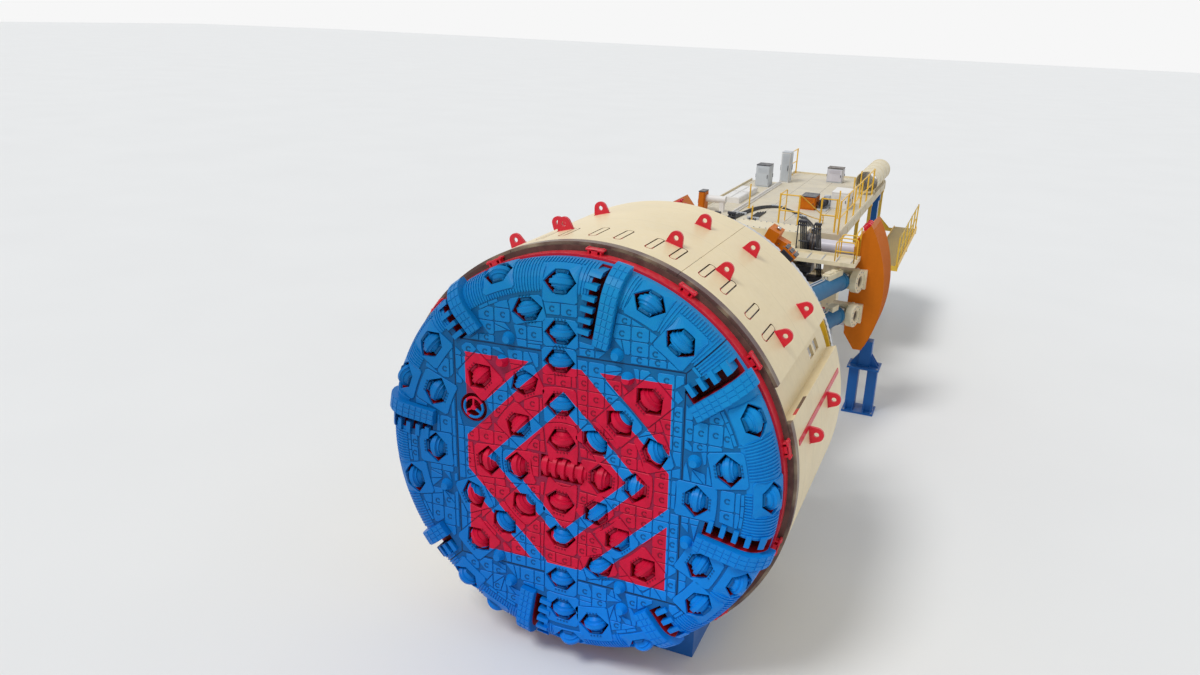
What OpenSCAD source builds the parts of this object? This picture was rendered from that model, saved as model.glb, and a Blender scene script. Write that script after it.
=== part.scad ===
// Open-type hard rock tunnel boring machine, with the cradle and stands that hold it.
// X is across the machine, Y runs from the cutterhead to the rear, and Z is up from the floor.
// Angles around the machine's axis are counted from +X towards +Z, as seen from the front.

/* [Overall] */
// Gap between the shield and the floor under it
floor_gap = 250; // [200:10:350]
// Where the shield's front edge lies along the machine
shield_y = -13865; // [-13900:5:-13800]

/* [Shield] */
// Radius of the shield's outer skin
shield_r = 4150; // [4130:5:4200]
// Length of the shield
shield_len = 4600; // [4500:10:4700]
// Depth of the side recess, from the skin down to the inner drum
recess_deep = 200; // [190:5:220]
// Wall of the inner drum
drum_t = 60; // [50:1:80]
// Thickness of the skin's edge around the front lip
skin_t = 60; // [50:1:70]
// Angle of the seam between the roof plate and the side plates
roof_seam = 66.3; // [65:0.1:68]
// Angle of the side plate's lower edge
side_edge = 29.4; // [28:0.1:31]
// Angle of the lower shell's upper edge
lower_edge = 19.7; // [18:0.1:21]
// Gap at the seams between the plates
seam_gap = 8; // [6:0.5:12]
// Height of a lifting lug above the skin
lug_h = 270; // [250:5:300]
// Width of a lifting lug along the machine
lug_w = 330; // [310:5:360]
// Thickness of a lifting lug
lug_t = 60; // [50:1:70]
// Radius of the hole in a lifting lug
lug_hole_r = 50; // [45:1:60]
// Radius of the round ends of the long groove around a plug in the skin
plug_r = 85; // [75:1:100]
// Distance between the middles of a plug groove's round ends
plug_run = 650; // [600:10:700]

/* [Cutterhead] */
// How far the head's rim lies inside the shield's skin
rim_in = 200; // [190:5:220]
// How far the flat face lies in front of the shield's front edge
face_reach = 920; // [900:5:940]
// Radius of the curve between the flat face and the rim
gauge_r = 480; // [470:5:490]
// From the head's back face to the shield's front edge
head_back = 330; // [320:5:350]
// Half width of the square centre block
block_half = 2290; // [2280:5:2300]
// How far the head has turned from the place where its centre block is level
head_turn = 1.6; // [0:0.1:3]
// Gap at the seams between the head's blocks
block_seam = 0.6; // [0.5:0.1:0.8]
// Radius of a disc cutter's ring
disc_r = 241; // [235:1:245]
// How far a disc cutter stands out of the face
disc_out = 130; // [120:1:140]
// Width of a disc cutter's ring
disc_w = 76; // [70:1:90]
// Width of a bucket's slot
slot_w = 270; // [260:1:280]
// Width of the bar beside a bucket's slot
bar_w = 300; // [290:1:310]
// Height of the bar above the head's surface
bar_h = 120; // [110:1:130]

/* [Main beam] */
// Width of the main beam
beam_w = 1600; // [1580:5:1620]
// Height of the main beam
beam_h = 1600; // [1580:5:1620]
// Wall of the main beam
beam_t = 70; // [60:1:80]
// Length of the beam's front section
beam_front_len = 7800; // [7700:10:7900]
// Length of the beam's rear section
beam_rear_len = 12200; // [12100:10:12300]

/* [Grippers] */
// From the shield's front edge to the middle of the gripper carriage
grip_y = 15200; // [15150:10:15210]
// Radius of a gripper shoe's outer face, which is the tunnel's own radius
bore_r = 4200; // [4190:5:4220]
// How far a shoe is drawn in from the tunnel wall
shoe_in = 300; // [290:5:310]
// Height of the shoe's middle above the machine's axis
shoe_dz = 170; // [160:5:180]
// Height of a gripper shoe
shoe_h = 4090; // [4050:10:4120]
// Length of a gripper shoe along the machine
shoe_len = 1800; // [1780:10:1820]
// Thickness of a gripper shoe
shoe_t = 900; // [880:5:910]
// Radius of a gripper cylinder's barrel
grip_barrel_r = 330; // [320:1:335]
// Radius of a gripper cylinder's rod
grip_rod_r = 220; // [210:1:225]

/* [Thrust cylinders] */
// Distance of the thrust cylinders' rear pivots from the middle plane
thrust_x = 2720; // [2710:5:2730]
// Distance of the rod eyes' pins from the middle plane
thrust_pin_x = 1250; // [1240:5:1260]
// From the shield's front edge to the rod eyes' pins
thrust_pin_y = 8000; // [7980:5:8020]
// Radius of a thrust cylinder's barrel
thrust_barrel_r = 280; // [270:1:285]
// Radius of a thrust cylinder's rod
thrust_rod_r = 165; // [155:1:170]
// Half the height between the upper and lower thrust cylinders
thrust_half = 560; // [550:5:570]

/* [Rear deck] */
// Height of the deck's top above the machine's axis
deck_z = 1400; // [1390:5:1420]
// Half width of the deck
deck_half = 2080; // [2060:5:2100]
// From the shield's front edge to the deck's front edge
deck_y = 16100; // [16080:10:16120]
// Length of the deck
deck_len = 12680; // [12650:10:12750]

/* [Stands] */
// Half width of the cradle under the shield
cradle_half = 2360; // [2340:5:2380]
// Length of the cradle along the machine
cradle_len = 3500; // [3450:10:3550]

/* [Hidden] */
drum_r = shield_r - recess_deep;
head_r = shield_r - rim_in;

// Height of the machine's axis above the floor
axis_h = shield_r + floor_gap;

CREAM = [0.86, 0.80, 0.66];
HEAD_BLUE = [0.05, 0.42, 0.72];
RED = [0.75, 0.05, 0.07];
PRIMER = [0.28, 0.16, 0.12];
ORANGE = [0.90, 0.42, 0.06];
YELLOW = [0.90, 0.70, 0.08];
TEAL = [0.04, 0.36, 0.50];
STAND_BLUE = [0.05, 0.25, 0.62];
GREY = [0.62, 0.65, 0.68];
DARK = [0.08, 0.08, 0.09];
STEEL = [0.70, 0.70, 0.72];

seat = 0.3;
run_gap = 0.5;
lift_gap = 5;
eps = 1;
big = 6000;
$fn = 64;
FINE = 360;

// Local Y starts at the shield's front edge, local Z at the machine's axis
module machine() {
    translate([0, shield_y, axis_h]) children();
}

// Local X points outwards at the angle a
module at_angle(a) {
    rotate([0, -a, 0]) children();
}

// A plain ring from y1 to y2
module ring(r1, r2, y1, y2) {
    translate([0, y1, 0]) rotate([-90, 0, 0]) difference() {
        cylinder(r = r2, h = y2 - y1, $fn = FINE);
        translate([0, 0, -eps]) cylinder(r = r1, h = y2 - y1 + 2 * eps, $fn = FINE);
    }
}

// A sector of a ring between the angles a1 and a2
module ring_sector(a1, a2, r1, r2, y1, y2) {
    translate([0, y1, 0]) rotate([-90, 0, 0]) rotate([0, 0, -a2])
        rotate_extrude(angle = a2 - a1, $fn = FINE) translate([r1, 0]) square([r2 - r1, y2 - y1]);
}

// A box given by its two corners
module box(a, b) {
    translate(a) cube([b[0] - a[0], b[1] - a[1], b[2] - a[2]]);
}

module both_sides() {
    children();
    mirror([1, 0, 0]) children();
}

// Cradle: two curved saddles, joined by side plates, on a base

module cradle() {
    cradle_y = 500;
    saddle_t = 400;
    side_t = 60;
    base_t = 80;
    color(STAND_BLUE) machine() difference() {
        union() {
            for (y = [cradle_y, cradle_y + cradle_len - saddle_t])
                box([-cradle_half, y, -axis_h], [cradle_half, y + saddle_t, -shield_r / 2]);
            for (x = [-cradle_half, -side_t / 2, cradle_half - side_t])
                box([x, cradle_y, -axis_h], [x + side_t, cradle_y + cradle_len, -shield_r / 2]);
            box([-cradle_half, cradle_y, -axis_h], [cradle_half, cradle_y + cradle_len, -axis_h + base_t]);
        }
        rotate([-90, 0, 0]) cylinder(r = shield_r + seat, h = shield_len * 2, $fn = FINE);
    }
}

// Shield: inner drum and lower shell, then the three plates that can be pressed outwards

slot_y1 = shield_len - 1500;
lip_y = -50;
lip_t = 70;
shell_extra = 60;

// A turned body between the angles a1 and a2, from an outline in radius and Y
module turned(a1, a2, outline) {
    rotate([-90, 0, 0]) rotate([0, 0, -a2]) rotate_extrude(angle = a2 - a1, $fn = FINE) polygon(outline);
}

module shield_body() {
    inner_r = drum_r - drum_t;
    step_y = lip_y + lip_t + seat;
    shell_y2 = shield_len + shell_extra;
    over = 10;
    color(CREAM) machine() difference() {
        ring(inner_r, shield_r, 0, shell_y2);
        ring(inner_r - over, shield_r - skin_t, -over, step_y);
        turned(lower_edge, 180 - lower_edge,
            [[drum_r, -over], [shield_r + over, -over], [shield_r + over, shell_y2 + over],
             [inner_r - over, shell_y2 + over], [inner_r - over, shield_len], [drum_r, shield_len]]);
        for (s = [0, 1], y = [slot_y1, slot_y1 + 500]) mirror([s, 0, 0])
            at_angle((side_edge + lower_edge) / 2)
                box([drum_r - 2 * drum_t, y, -120], [shield_r, y + 350, 120]);
    }
}

module front_lip() {
    color(PRIMER) machine() ring(drum_r - drum_t, shield_r - skin_t - seat, lip_y, lip_y + lip_t);
}

// Red ring behind the head, with the brackets that reach over the lip
bracket_angles = [14, 38, 62, 88, 118, 142, 166, 192, 222, 252, 288, 318, 346];

module seal_ring() {
    color(RED) machine() {
        ring(drum_r - 200, drum_r + 40, -head_back + lift_gap * 4, lip_y - seat);
        for (a = bracket_angles) at_angle(a)
            box([drum_r - 120, -200, -60], [shield_r - skin_t - 20, lip_y - 3, 60]);
    }
}

// One lifting lug: a plate across the machine, wide at its foot, with a round top and a hole
module lug(y, a) {
    top_r = lug_w * 0.42;
    at_angle(a) translate([0, y + lug_t / 2, 0]) rotate([90, 0, 0]) difference() {
        union() {
            translate([shield_r + lug_h - top_r, 0, 0]) cylinder(r = top_r, h = lug_t);
            linear_extrude(lug_t) polygon([
                [shield_r - 20, -lug_w / 2],
                [shield_r + 40, -lug_w / 2],
                [shield_r + lug_h - top_r * 0.8, -top_r * 0.98],
                [shield_r + lug_h - top_r * 0.8, top_r * 0.98],
                [shield_r + 40, lug_w / 2],
                [shield_r - 20, lug_w / 2]
            ]);
        }
        translate([shield_r + lug_h - top_r, 0, -eps]) cylinder(r = lug_hole_r, h = lug_t + 2 * eps);
    }
}

// Lug rows: angle, front place and rear place along the shield
roof_lug_rows = [[74.2, 1330, 3170], [180 - 74.2, 1330, 3170]];
side_lug_rows = [[59, 1270, 3240], [36.9, 1250, 3200]];
lower_lug_rows = [[10.4, 1170, 3070], [180 - 10.4, 1170, 3070]];
lug_strip_w = 110;
lug_strip_t = 12;

module lug_set(rows) {
    color(RED) machine() difference() {
        for (row = rows, k = [1, 2]) lug(row[k], row[0]);
        rotate([-90, 0, 0]) cylinder(r = shield_r + seat, h = shield_len, $fn = FINE);
    }
}

// The lower lugs stand beside a strip that runs along the shield
module lower_lugs() {
    lug_set(lower_lug_rows);
    half = lug_strip_w / 2;
    r1 = shield_r + seat;
    color(RED) machine() both_sides() at_angle(lower_lug_rows[0][0] + 2.6)
        box([r1, 300, -half], [r1 + lug_strip_t, shield_len - 200, half]);
}
module roof_lugs() { lug_set(roof_lug_rows); }
module side_lugs_r() { lug_set(side_lug_rows); }
module side_lugs_l() { mirror([1, 0, 0]) lug_set(side_lug_rows); }

// Long grooves around the plugs near the plates' front edges, at these angles
roof_plugs = [71, 77.8, 86.5, 93.5, 102.2, 109];
side_plugs = [40.3, 47.1, 55.6, 62.4];

module plug_outline(r) {
    for (y = [0, plug_run]) translate([0, y]) circle(r = r);
    translate([-r, 0]) square([2 * r, plug_run]);
}

module plug_groove(a) {
    groove_w = 28;
    groove_deep = 40;
    plug_y = 620;
    at_angle(a) translate([shield_r - groove_deep, plug_y, 0]) rotate([0, 90, 0]) difference() {
        linear_extrude(2 * groove_deep) plug_outline(plug_r);
        translate([0, 0, -eps]) linear_extrude(2 * groove_deep + 2 * eps) plug_outline(plug_r - groove_w);
    }
}

// A plate of the shield between two seams, with the skin's lip over the front ring
module shield_plate(a1, a2, plugs) {
    half_seam = asin(seam_gap / 2 / shield_r);
    difference() {
        ring_sector(a1 + half_seam, a2 - half_seam, drum_r + run_gap, shield_r, 0, shield_len);
        ring_sector(a1 - 1, a2 + 1, drum_r - eps, shield_r - skin_t, -eps, lip_y + lip_t + lift_gap);
        for (a = plugs) plug_groove(a);
    }
}

module shield_roof() {
    color(CREAM) machine() shield_plate(roof_seam, 180 - roof_seam, roof_plugs);
}

module shield_side_r() {
    color(CREAM) machine() shield_plate(side_edge, roof_seam, side_plugs);
}

module shield_side_l() {
    color(CREAM) machine() mirror([1, 0, 0]) shield_plate(side_edge, roof_seam, side_plugs);
}

// Cutterhead: a turned body with pockets, split in a square block and four segments

// Half outline of the head, grown by d, with the radius along X
module head_outline(d) {
    corner = gauge_r + d;
    rim = head_r + d;
    front = -face_reach - d;
    flat_r = head_r - gauge_r;
    translate([0, front]) square([flat_r, -front - head_back]);
    translate([0, -face_reach + gauge_r]) square([rim, face_reach - gauge_r - head_back]);
    intersection() {
        translate([flat_r, -face_reach + gauge_r]) circle(r = corner, $fn = FINE);
        translate([flat_r - eps, front]) square([corner + eps, corner + eps]);
    }
}

module head_solid(d = 0) {
    rotate([-90, 0, 0]) rotate_extrude($fn = FINE) head_outline(d);
}

// How far a normal of the head's surface leans outwards at the radius r
function lean(r) = r <= head_r - gauge_r ? 0 : asin(min(0.98, (r - head_r + gauge_r) / gauge_r));

// Local X points outwards, local -Y out of the surface, at radius r and angle a
module on_head(r, a) {
    t = lean(r);
    at_angle(a) translate([r, -face_reach + gauge_r * (1 - cos(t)), 0]) rotate([0, 0, t]) children();
}

// Disc cutters: radius and angle of each, row by row outwards
CUTTERS = [
    [610, 96], [700, 265], [760, 359], [990, 189], [940, 49], [1200, 143], [1250, 229],
    [1010, 313], [1310, 95], [1430, 269], [1430, 359], [1610, 186], [1600, 48], [1810, 118],
    [1900, 229], [1640, 314], [1910, 23], [2170, 207], [2020, 293], [2150, 94], [2360, 270],
    [2370, 139], [2350, 47], [2690, 227], [2360, 315], [2690, 93], [2580, 0], [2790, 183],
    [3040, 271], [2950, 159], [3020, 335], [3130, 105], [3250, 283], [3190, 13], [3440, 196],
    [3490, 145], [3470, 323], [3550, 54], [3620, 93], [3710, 273], [3660, 234], [3860, 113],
    [3760, 67], [3730, 161], [3880, 246], [3820, 26], [3880, 4], [3790, 336], [3810, 297]
];

POCKET_LEN = 640;
POCKET_W = 430;
POCKET_DEPTH = 400;
BACK_PLATE = 50;

module pocket(grow = 0) {
    half_l = POCKET_LEN / 2 + grow;
    half_w = POCKET_W / 2 + grow;
    side = 130;
    translate([0, POCKET_DEPTH + grow, 0]) rotate([90, 0, 0]) linear_extrude(POCKET_DEPTH + 400)
        polygon([[0, -half_l], [half_w, -side], [half_w, side], [0, half_l], [-half_w, side], [-half_w, -side]]);
}

// One cutter: ring, hub and the two saddle blocks that hold its shaft
module cutter() {
    axis_in = disc_r - disc_out;
    translate([0, axis_in, 0]) rotate([0, 90, 0]) {
        cylinder(r = disc_r, h = disc_w, center = true, $fn = 48);
        cylinder(r = disc_r * 0.8, h = disc_w * 2.4, center = true, $fn = 48);
        cylinder(r = 95, h = POCKET_W - 40, center = true, $fn = 32);
    }
    for (s = [-1, 1]) translate([s * (POCKET_W / 2 - 45) - 25, 40, -120])
        cube([50, POCKET_DEPTH - 40 - seat, 240]);
}

// Buckets: angle of the slot's middle, inner radius, and number of teeth
slot_back = head_back + 120;
BUCKETS = [
    [81.8, 2690, 6], [39.7, 2990, 4], [-10.4, 2780, 5], [-51.4, 3100, 4],
    [-98, 2880, 5], [-138.7, 3250, 4], [175.4, 2870, 5], [132.3, 3110, 4]
];

module bucket_slots() {
    for (b = BUCKETS) at_angle(b[0])
        box([b[1], -face_reach - 300, -slot_w / 2], [head_r + 300, -slot_back, slot_w / 2]);
}

CENTRE_W = 970;
CENTRE_H = 470;
HATCH = [-1930, 880];
HATCH_R = 290;
HATCH_DEEP = 300;

// Everything in front of the plane at y
module in_front(y) {
    box([-big, -big, -big], [big, y, big]);
}

module head_cut() {
    difference() {
        head_solid();
        intersection() {
            for (c = CUTTERS) on_head(c[0], c[1]) pocket();
            in_front(-head_back - BACK_PLATE);
        }
        bucket_slots();
        box([-CENTRE_W / 2, -face_reach - eps, -CENTRE_H / 2], [CENTRE_W / 2, -face_reach + 480, CENTRE_H / 2]);
        translate([HATCH[0], -face_reach + HATCH_DEEP, HATCH[1]]) rotate([90, 0, 0]) cylinder(r = HATCH_R, h = 1000);
    }
}

module head_center() {
    color(HEAD_BLUE) machine() intersection() {
        head_cut();
        at_angle(head_turn) box([-block_half, -big, -block_half], [block_half, 0, block_half]);
    }
}

module head_segments() {
    color(HEAD_BLUE) machine() for (k = [0:3]) intersection() {
        head_cut();
        at_angle(90 * k + head_turn) rotate([90, 0, 0]) linear_extrude(big)
            polygon([
                [block_half + block_seam, -block_half],
                [big, -big + block_seam],
                [big, big - block_seam],
                [block_half + block_seam, block_half]
            ]);
    }
}

module head_cutters() {
    color(HEAD_BLUE) machine() for (c = CUTTERS) intersection() {
        on_head(c[0], c[1]) cutter();
        in_front(-head_back - BACK_PLATE - seat);
    }
}

// A layer on the head's surface from height d1 to d2, as far back as the slots reach
module head_layer(d1, d2) {
    difference() {
        head_solid(d2);
        head_solid(d1);
        box([-big, -slot_back - seat, -big], [big, 0, big]);
    }
}

TOOTH_W = 90;
TOOTH_OVER = 150;
TOOTH_FOOT = 90;
TOOTH_H = 50;
TOOTH_DEEP = 80;

// Bars stand on one side of the slots, teeth reach over them from the other side
module head_buckets() {
    color(HEAD_BLUE) machine() {
        intersection() {
            head_layer(seat, bar_h);
            for (b = BUCKETS) at_angle(b[0])
                box([b[1] - 60, -big, -slot_w / 2 - bar_w], [big, 0, -slot_w / 2]);
        }
        for (b = BUCKETS, i = [0:b[2] - 1]) {
            pitch = (head_r - b[1]) / b[2];
            r1 = b[1] + pitch * (i + 0.5) - TOOTH_W / 2;
            intersection() {
                head_layer(-TOOTH_DEEP, TOOTH_H);
                at_angle(b[0]) box([r1, -big, slot_w / 2 - TOOTH_OVER], [r1 + TOOTH_W, 0, slot_w / 2 - seat]);
            }
            intersection() {
                head_layer(seat, TOOTH_H);
                at_angle(b[0]) box([r1, -big, slot_w / 2 - eps], [r1 + TOOTH_W, 0, slot_w / 2 + TOOTH_FOOT]);
            }
        }
    }
}

// Conical water nozzles on the face, and the hatch's handwheel in its recess
NOZZLES = [
    [-1180, 2410], [950, 2460], [-1310, 1940], [1170, 2060], [-2550, -910], [2450, -860],
    [-1090, -2700], [1280, -2640], [2490, 760], [-1370, -2210], [1220, -2180]
];

module head_fittings() {
    wheel_r = HATCH_R - 90;
    rim_r = 26;
    color(HEAD_BLUE) machine() {
        for (p = NOZZLES) translate([p[0], -face_reach - seat, p[1]]) rotate([90, 0, 0])
            cylinder(r1 = 125, r2 = 70, h = 130, $fn = 32);
        translate([HATCH[0], -face_reach, HATCH[1]]) rotate([90, 0, 0]) {
            translate([0, 0, seat - HATCH_DEEP]) cylinder(r = 50, h = HATCH_DEEP + 20, $fn = 32);
            rotate_extrude($fn = 48) translate([wheel_r, 0]) circle(r = rim_r, $fn = 16);
            for (a = [90, 210, 330]) rotate([0, 0, a]) translate([0, -18, -18]) cube([wheel_r, 36, 36]);
        }
    }
}

// Hub: joins the head's back to the bearing, with a spigot in the support's bore
HUB_R = 2600;
BEARING_R = 1300;
SUPPORT_Y = 300;

module head_hub() {
    color(RED) machine() {
        ring(BEARING_R - 400, HUB_R, -head_back + seat, SUPPORT_Y - lift_gap);
        ring(BEARING_R - 400, BEARING_R - seat, SUPPORT_Y - lift_gap - eps, 900);
    }
}

// Centre cutters: five discs side by side on one shaft
module centre_cutters() {
    pitch = 180;
    color(RED) machine() translate([0, -face_reach + disc_r - disc_out, 0]) rotate([0, 90, 0]) {
        for (i = [-2:2]) translate([0, 0, i * pitch]) {
            cylinder(r = disc_r - 15, h = disc_w, center = true, $fn = 48);
        }
        cylinder(r = 170, h = CENTRE_W - 50, center = true, $fn = 48);
    }
}

// Drive: the support with the main bearing, and the motors on its back
support_back = 1500;
SUPPORT_R = 2700;

module cutterhead_support() {
    color(CREAM) machine() {
        ring(BEARING_R, SUPPORT_R, SUPPORT_Y, support_back);
        ring(SUPPORT_R - eps, drum_r - drum_t - seat, 900, 1150);
    }
}

module drive_motors() {
    pitch_r = 2050;
    gearbox_r = 330;
    motor_r = 270;
    color(HEAD_BLUE) machine() for (a = [0:36:324]) at_angle(a) translate([pitch_r, support_back + seat, 0])
        rotate([-90, 0, 0]) {
            cylinder(r = gearbox_r, h = 500, $fn = 48);
            translate([0, 0, 499]) cylinder(r = motor_r, h = 900, $fn = 48);
            translate([0, 0, 1398]) cylinder(r = motor_r * 0.8, h = 120, $fn = 48);
        }
}

// Main beam: two hollow box sections with bolted flanges
beam_y1 = support_back + seat;
beam_y2 = beam_y1 + beam_front_len;
beam_y3 = beam_y2 + beam_rear_len;
FLANGE_GROW = 130;
FLANGE_T = 80;

module beam_box(y1, y2, grow = 0) {
    box([-beam_w / 2 - grow, y1, -beam_h / 2 - grow], [beam_w / 2 + grow, y2, beam_h / 2 + grow]);
}

module beam_front() {
    color(CREAM) machine() difference() {
        union() {
            beam_box(beam_y1, beam_y2);
            beam_box(beam_y1, beam_y1 + FLANGE_T, 300);
            beam_box(beam_y2 - FLANGE_T, beam_y2, FLANGE_GROW);
        }
        box([-beam_w / 2 + beam_t, 0, -beam_h / 2 + beam_t], [beam_w / 2 - beam_t, beam_y2 + 10, beam_h / 2 - beam_t]);
    }
}

// Pairs of ears on foot plates on the beam's sides, which hold the thrust cylinders' rod eyes
module thrust_ears() {
    ear_t = 70;
    ear_gap = 260;
    foot_t = 40;
    foot_half = ear_gap / 2 + ear_t;
    foot_x = beam_w / 2 + seat;
    y = thrust_pin_y;
    color(CREAM) machine() both_sides() for (z = [-1, 1]) translate([0, 0, thrust_dz + z * thrust_half]) {
        box([foot_x, y - 760, -foot_half], [foot_x + foot_t, y + 640, foot_half]);
        for (z0 = [-foot_half, ear_gap / 2]) translate([0, 0, z0]) linear_extrude(ear_t) polygon([
            [foot_x + foot_t - eps, y - 700],
            [thrust_pin_x + 150, y - 260],
            [thrust_pin_x + 260, y + 120],
            [thrust_pin_x + 60, y + 260],
            [foot_x + foot_t - eps, y + 600]
        ]);
    }
}

WAY_W = 120;
WAY_H = 260;
way_y1 = grip_y - 2000;
way_y2 = grip_y + 850;

module beam_rear() {
    color(CREAM) machine() difference() {
        union() {
            beam_box(beam_y2 + seat, beam_y3);
            beam_box(beam_y2 + seat, beam_y2 + seat + FLANGE_T, FLANGE_GROW);
            both_sides() box([beam_w / 2 - eps, way_y1, -WAY_H / 2], [beam_w / 2 + WAY_W, way_y2, WAY_H / 2]);
        }
        box([-beam_w / 2 + beam_t, 0, -beam_h / 2 + beam_t], [beam_w / 2 - beam_t, big * 5, beam_h / 2 - beam_t]);
    }
}

// Ring erector: a fixed cross on the beam, the turning ring around it, and the ring's grips
ERECTOR_Y = 5700;
ERECTOR_R = 3600;
ERECTOR_T = 200;
ERECTOR_W = 300;

module erector_frame() {
    arm_w = 260;
    y1 = ERECTOR_Y - ERECTOR_W / 2;
    y2 = ERECTOR_Y + ERECTOR_W / 2;
    color(CREAM) machine() difference() {
        union() {
            intersection() {
                for (a = [45:90:315]) at_angle(a) box([beam_w / 2, y1, -arm_w / 2], [ERECTOR_R, y2, arm_w / 2]);
                rotate([-90, 0, 0]) cylinder(r = ERECTOR_R - run_gap, h = big * 2, $fn = FINE);
            }
            beam_box(y1, y2, 200);
        }
        beam_box(0, big * 2, seat);
    }
}

module erector_ring() {
    color(YELLOW) machine()
        ring(ERECTOR_R, ERECTOR_R + ERECTOR_T, ERECTOR_Y - ERECTOR_W / 2, ERECTOR_Y + ERECTOR_W / 2);
}

module erector_grips() {
    grip_h = 220;
    r1 = ERECTOR_R + ERECTOR_T + seat;
    color(ORANGE) machine() for (a = [51, 231]) at_angle(a)
        box([r1, ERECTOR_Y - 200, -180], [r1 + grip_h, ERECTOR_Y + 200, 180]);
}

// Roof drills: two masts that swing about pins in a pair of plates on the beam's top
DRILL_X = 1150;
DRILL_Y = 7000;
DRILL_Z = 950;
DRILL_LEAN = 66;
DRILL_PIN_R = 110;
DRILL_BODY = 170;
PLATE_T = 80;

module drill_frame() {
    color(YELLOW) machine() difference() {
        for (y = [DRILL_Y - DRILL_BODY - lift_gap - PLATE_T, DRILL_Y + DRILL_BODY + lift_gap])
            box([-DRILL_X - 200, y, beam_h / 2 + seat], [DRILL_X + 200, y + PLATE_T, DRILL_Z + 180]);
        both_sides() translate([DRILL_X, DRILL_Y, DRILL_Z]) rotate([90, 0, 0])
            cylinder(r = DRILL_PIN_R + run_gap, h = 1000, center = true);
    }
}

module drill_mast() {
    translate([DRILL_X, DRILL_Y, DRILL_Z]) {
        rotate([-90, 0, 0]) cylinder(r = DRILL_PIN_R, h = 2 * (DRILL_BODY + PLATE_T + 40), center = true);
        at_angle(DRILL_LEAN) {
            box([-150, -DRILL_BODY, -150], [2300, DRILL_BODY, 150]);
            box([1500, -300, 150 - eps], [2450, 300, 450]);
        }
    }
}

module drill_mast_r() { color(ORANGE) machine() drill_mast(); }
module drill_mast_l() { color(ORANGE) machine() mirror([1, 0, 0]) drill_mast(); }

// Grippers: the carriage rides on the beam's ways and holds the cross cylinders
grip_row_z = beam_h / 2 + 20 + grip_barrel_r + 30;
CARRIAGE_LEN = 1200;
CARRIAGE_HALF = 1200;
BARREL_HALF = 1600;

module carriage_bores(grow) {
    for (z = [-1, 1]) translate([0, grip_y, z * grip_row_z]) rotate([0, 90, 0])
        cylinder(r = grip_barrel_r + grow, h = big, center = true, $fn = 64);
}

// Work platform in front of the carriage, above the thrust cylinders
module carriage_platform() {
    half = 3080;
    y1 = grip_y - 2100;
    y2 = grip_y - shoe_len / 2 - 30;
    z1 = beam_h / 2 + 280;
    plate_t = 40;
    rim_h = 120;
    difference() {
        box([-half, y1, z1], [half, y2, z1 + rim_h]);
        box([60 - half, y1 + 60, z1 + plate_t], [half - 60, y2 - 60, z1 + rim_h + eps]);
    }
    box([-1000, y2 - 59, z1], [1000, grip_y - CARRIAGE_LEN / 2 + eps, z1 + rim_h]);
}

module gripper_carriage() {
    top = grip_row_z + grip_barrel_r + 120;
    color(CREAM) machine() difference() {
        union() {
            box([-CARRIAGE_HALF, grip_y - CARRIAGE_LEN / 2, -top],
                [CARRIAGE_HALF, grip_y + CARRIAGE_LEN / 2, top]);
            carriage_platform();
        }
        beam_box(0, big * 5, lift_gap);
        both_sides() box([beam_w / 2 - eps, 0, -WAY_H / 2 - run_gap],
            [beam_w / 2 + WAY_W + run_gap, big * 5, WAY_H / 2 + run_gap]);
        carriage_bores(seat);
    }
}

module gripper_barrels() {
    color(TEAL) machine() difference() {
        for (z = [-1, 1]) translate([0, grip_y, z * grip_row_z]) rotate([0, 90, 0])
            cylinder(r = grip_barrel_r, h = BARREL_HALF * 2, center = true, $fn = 64);
        for (z = [-1, 1], s = [-1, 1]) translate([s * (BARREL_HALF - 500), grip_y, z * grip_row_z])
            rotate([0, 90, 0]) cylinder(r = grip_rod_r + run_gap, h = 2200, center = true, $fn = 64);
    }
}

// Shoe outline in X and Z: arc of the tunnel's radius outside, straight inside, cut corners
module shoe_outline() {
    shoe_inner = bore_r - shoe_in - shoe_t - 150;
    intersection() {
        translate([-shoe_in, 0]) circle(r = bore_r, $fn = FINE);
        translate([0, shoe_dz]) polygon([
            [shoe_inner, -shoe_h / 2 + 500],
            [shoe_inner + 350, -shoe_h / 2],
            [big, -shoe_h / 2],
            [big, shoe_h / 2],
            [shoe_inner + 450, shoe_h / 2],
            [shoe_inner, shoe_h / 2 - 560]
        ]);
    }
}

shoe_face = bore_r - shoe_in - shoe_t - 150;

module shoe() {
    translate([0, grip_y + shoe_len / 2, 0]) rotate([90, 0, 0]) linear_extrude(shoe_len) shoe_outline();
}

module grip_rods() {
    for (z = [-1, 1]) translate([0, grip_y, z * grip_row_z]) rotate([0, 90, 0])
        translate([0, 0, 900]) cylinder(r = grip_rod_r, h = shoe_face - 900 - seat, $fn = 64);
}

// Thrust cylinders: pivots on the shoe's sockets, rods forward and inwards to the beam
thrust_dz = -70;
thrust_y = grip_y - 1200;
thrust_dx = thrust_x - thrust_pin_x;
thrust_dy = thrust_y - thrust_pin_y;
thrust_angle = atan2(thrust_dx, thrust_dy);
thrust_dist = sqrt(thrust_dx * thrust_dx + thrust_dy * thrust_dy);
BALL_R = 230;

module thrust_frame() {
    for (z = [-1, 1]) translate([thrust_x, thrust_y, thrust_dz + z * thrust_half]) children();
}

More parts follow.
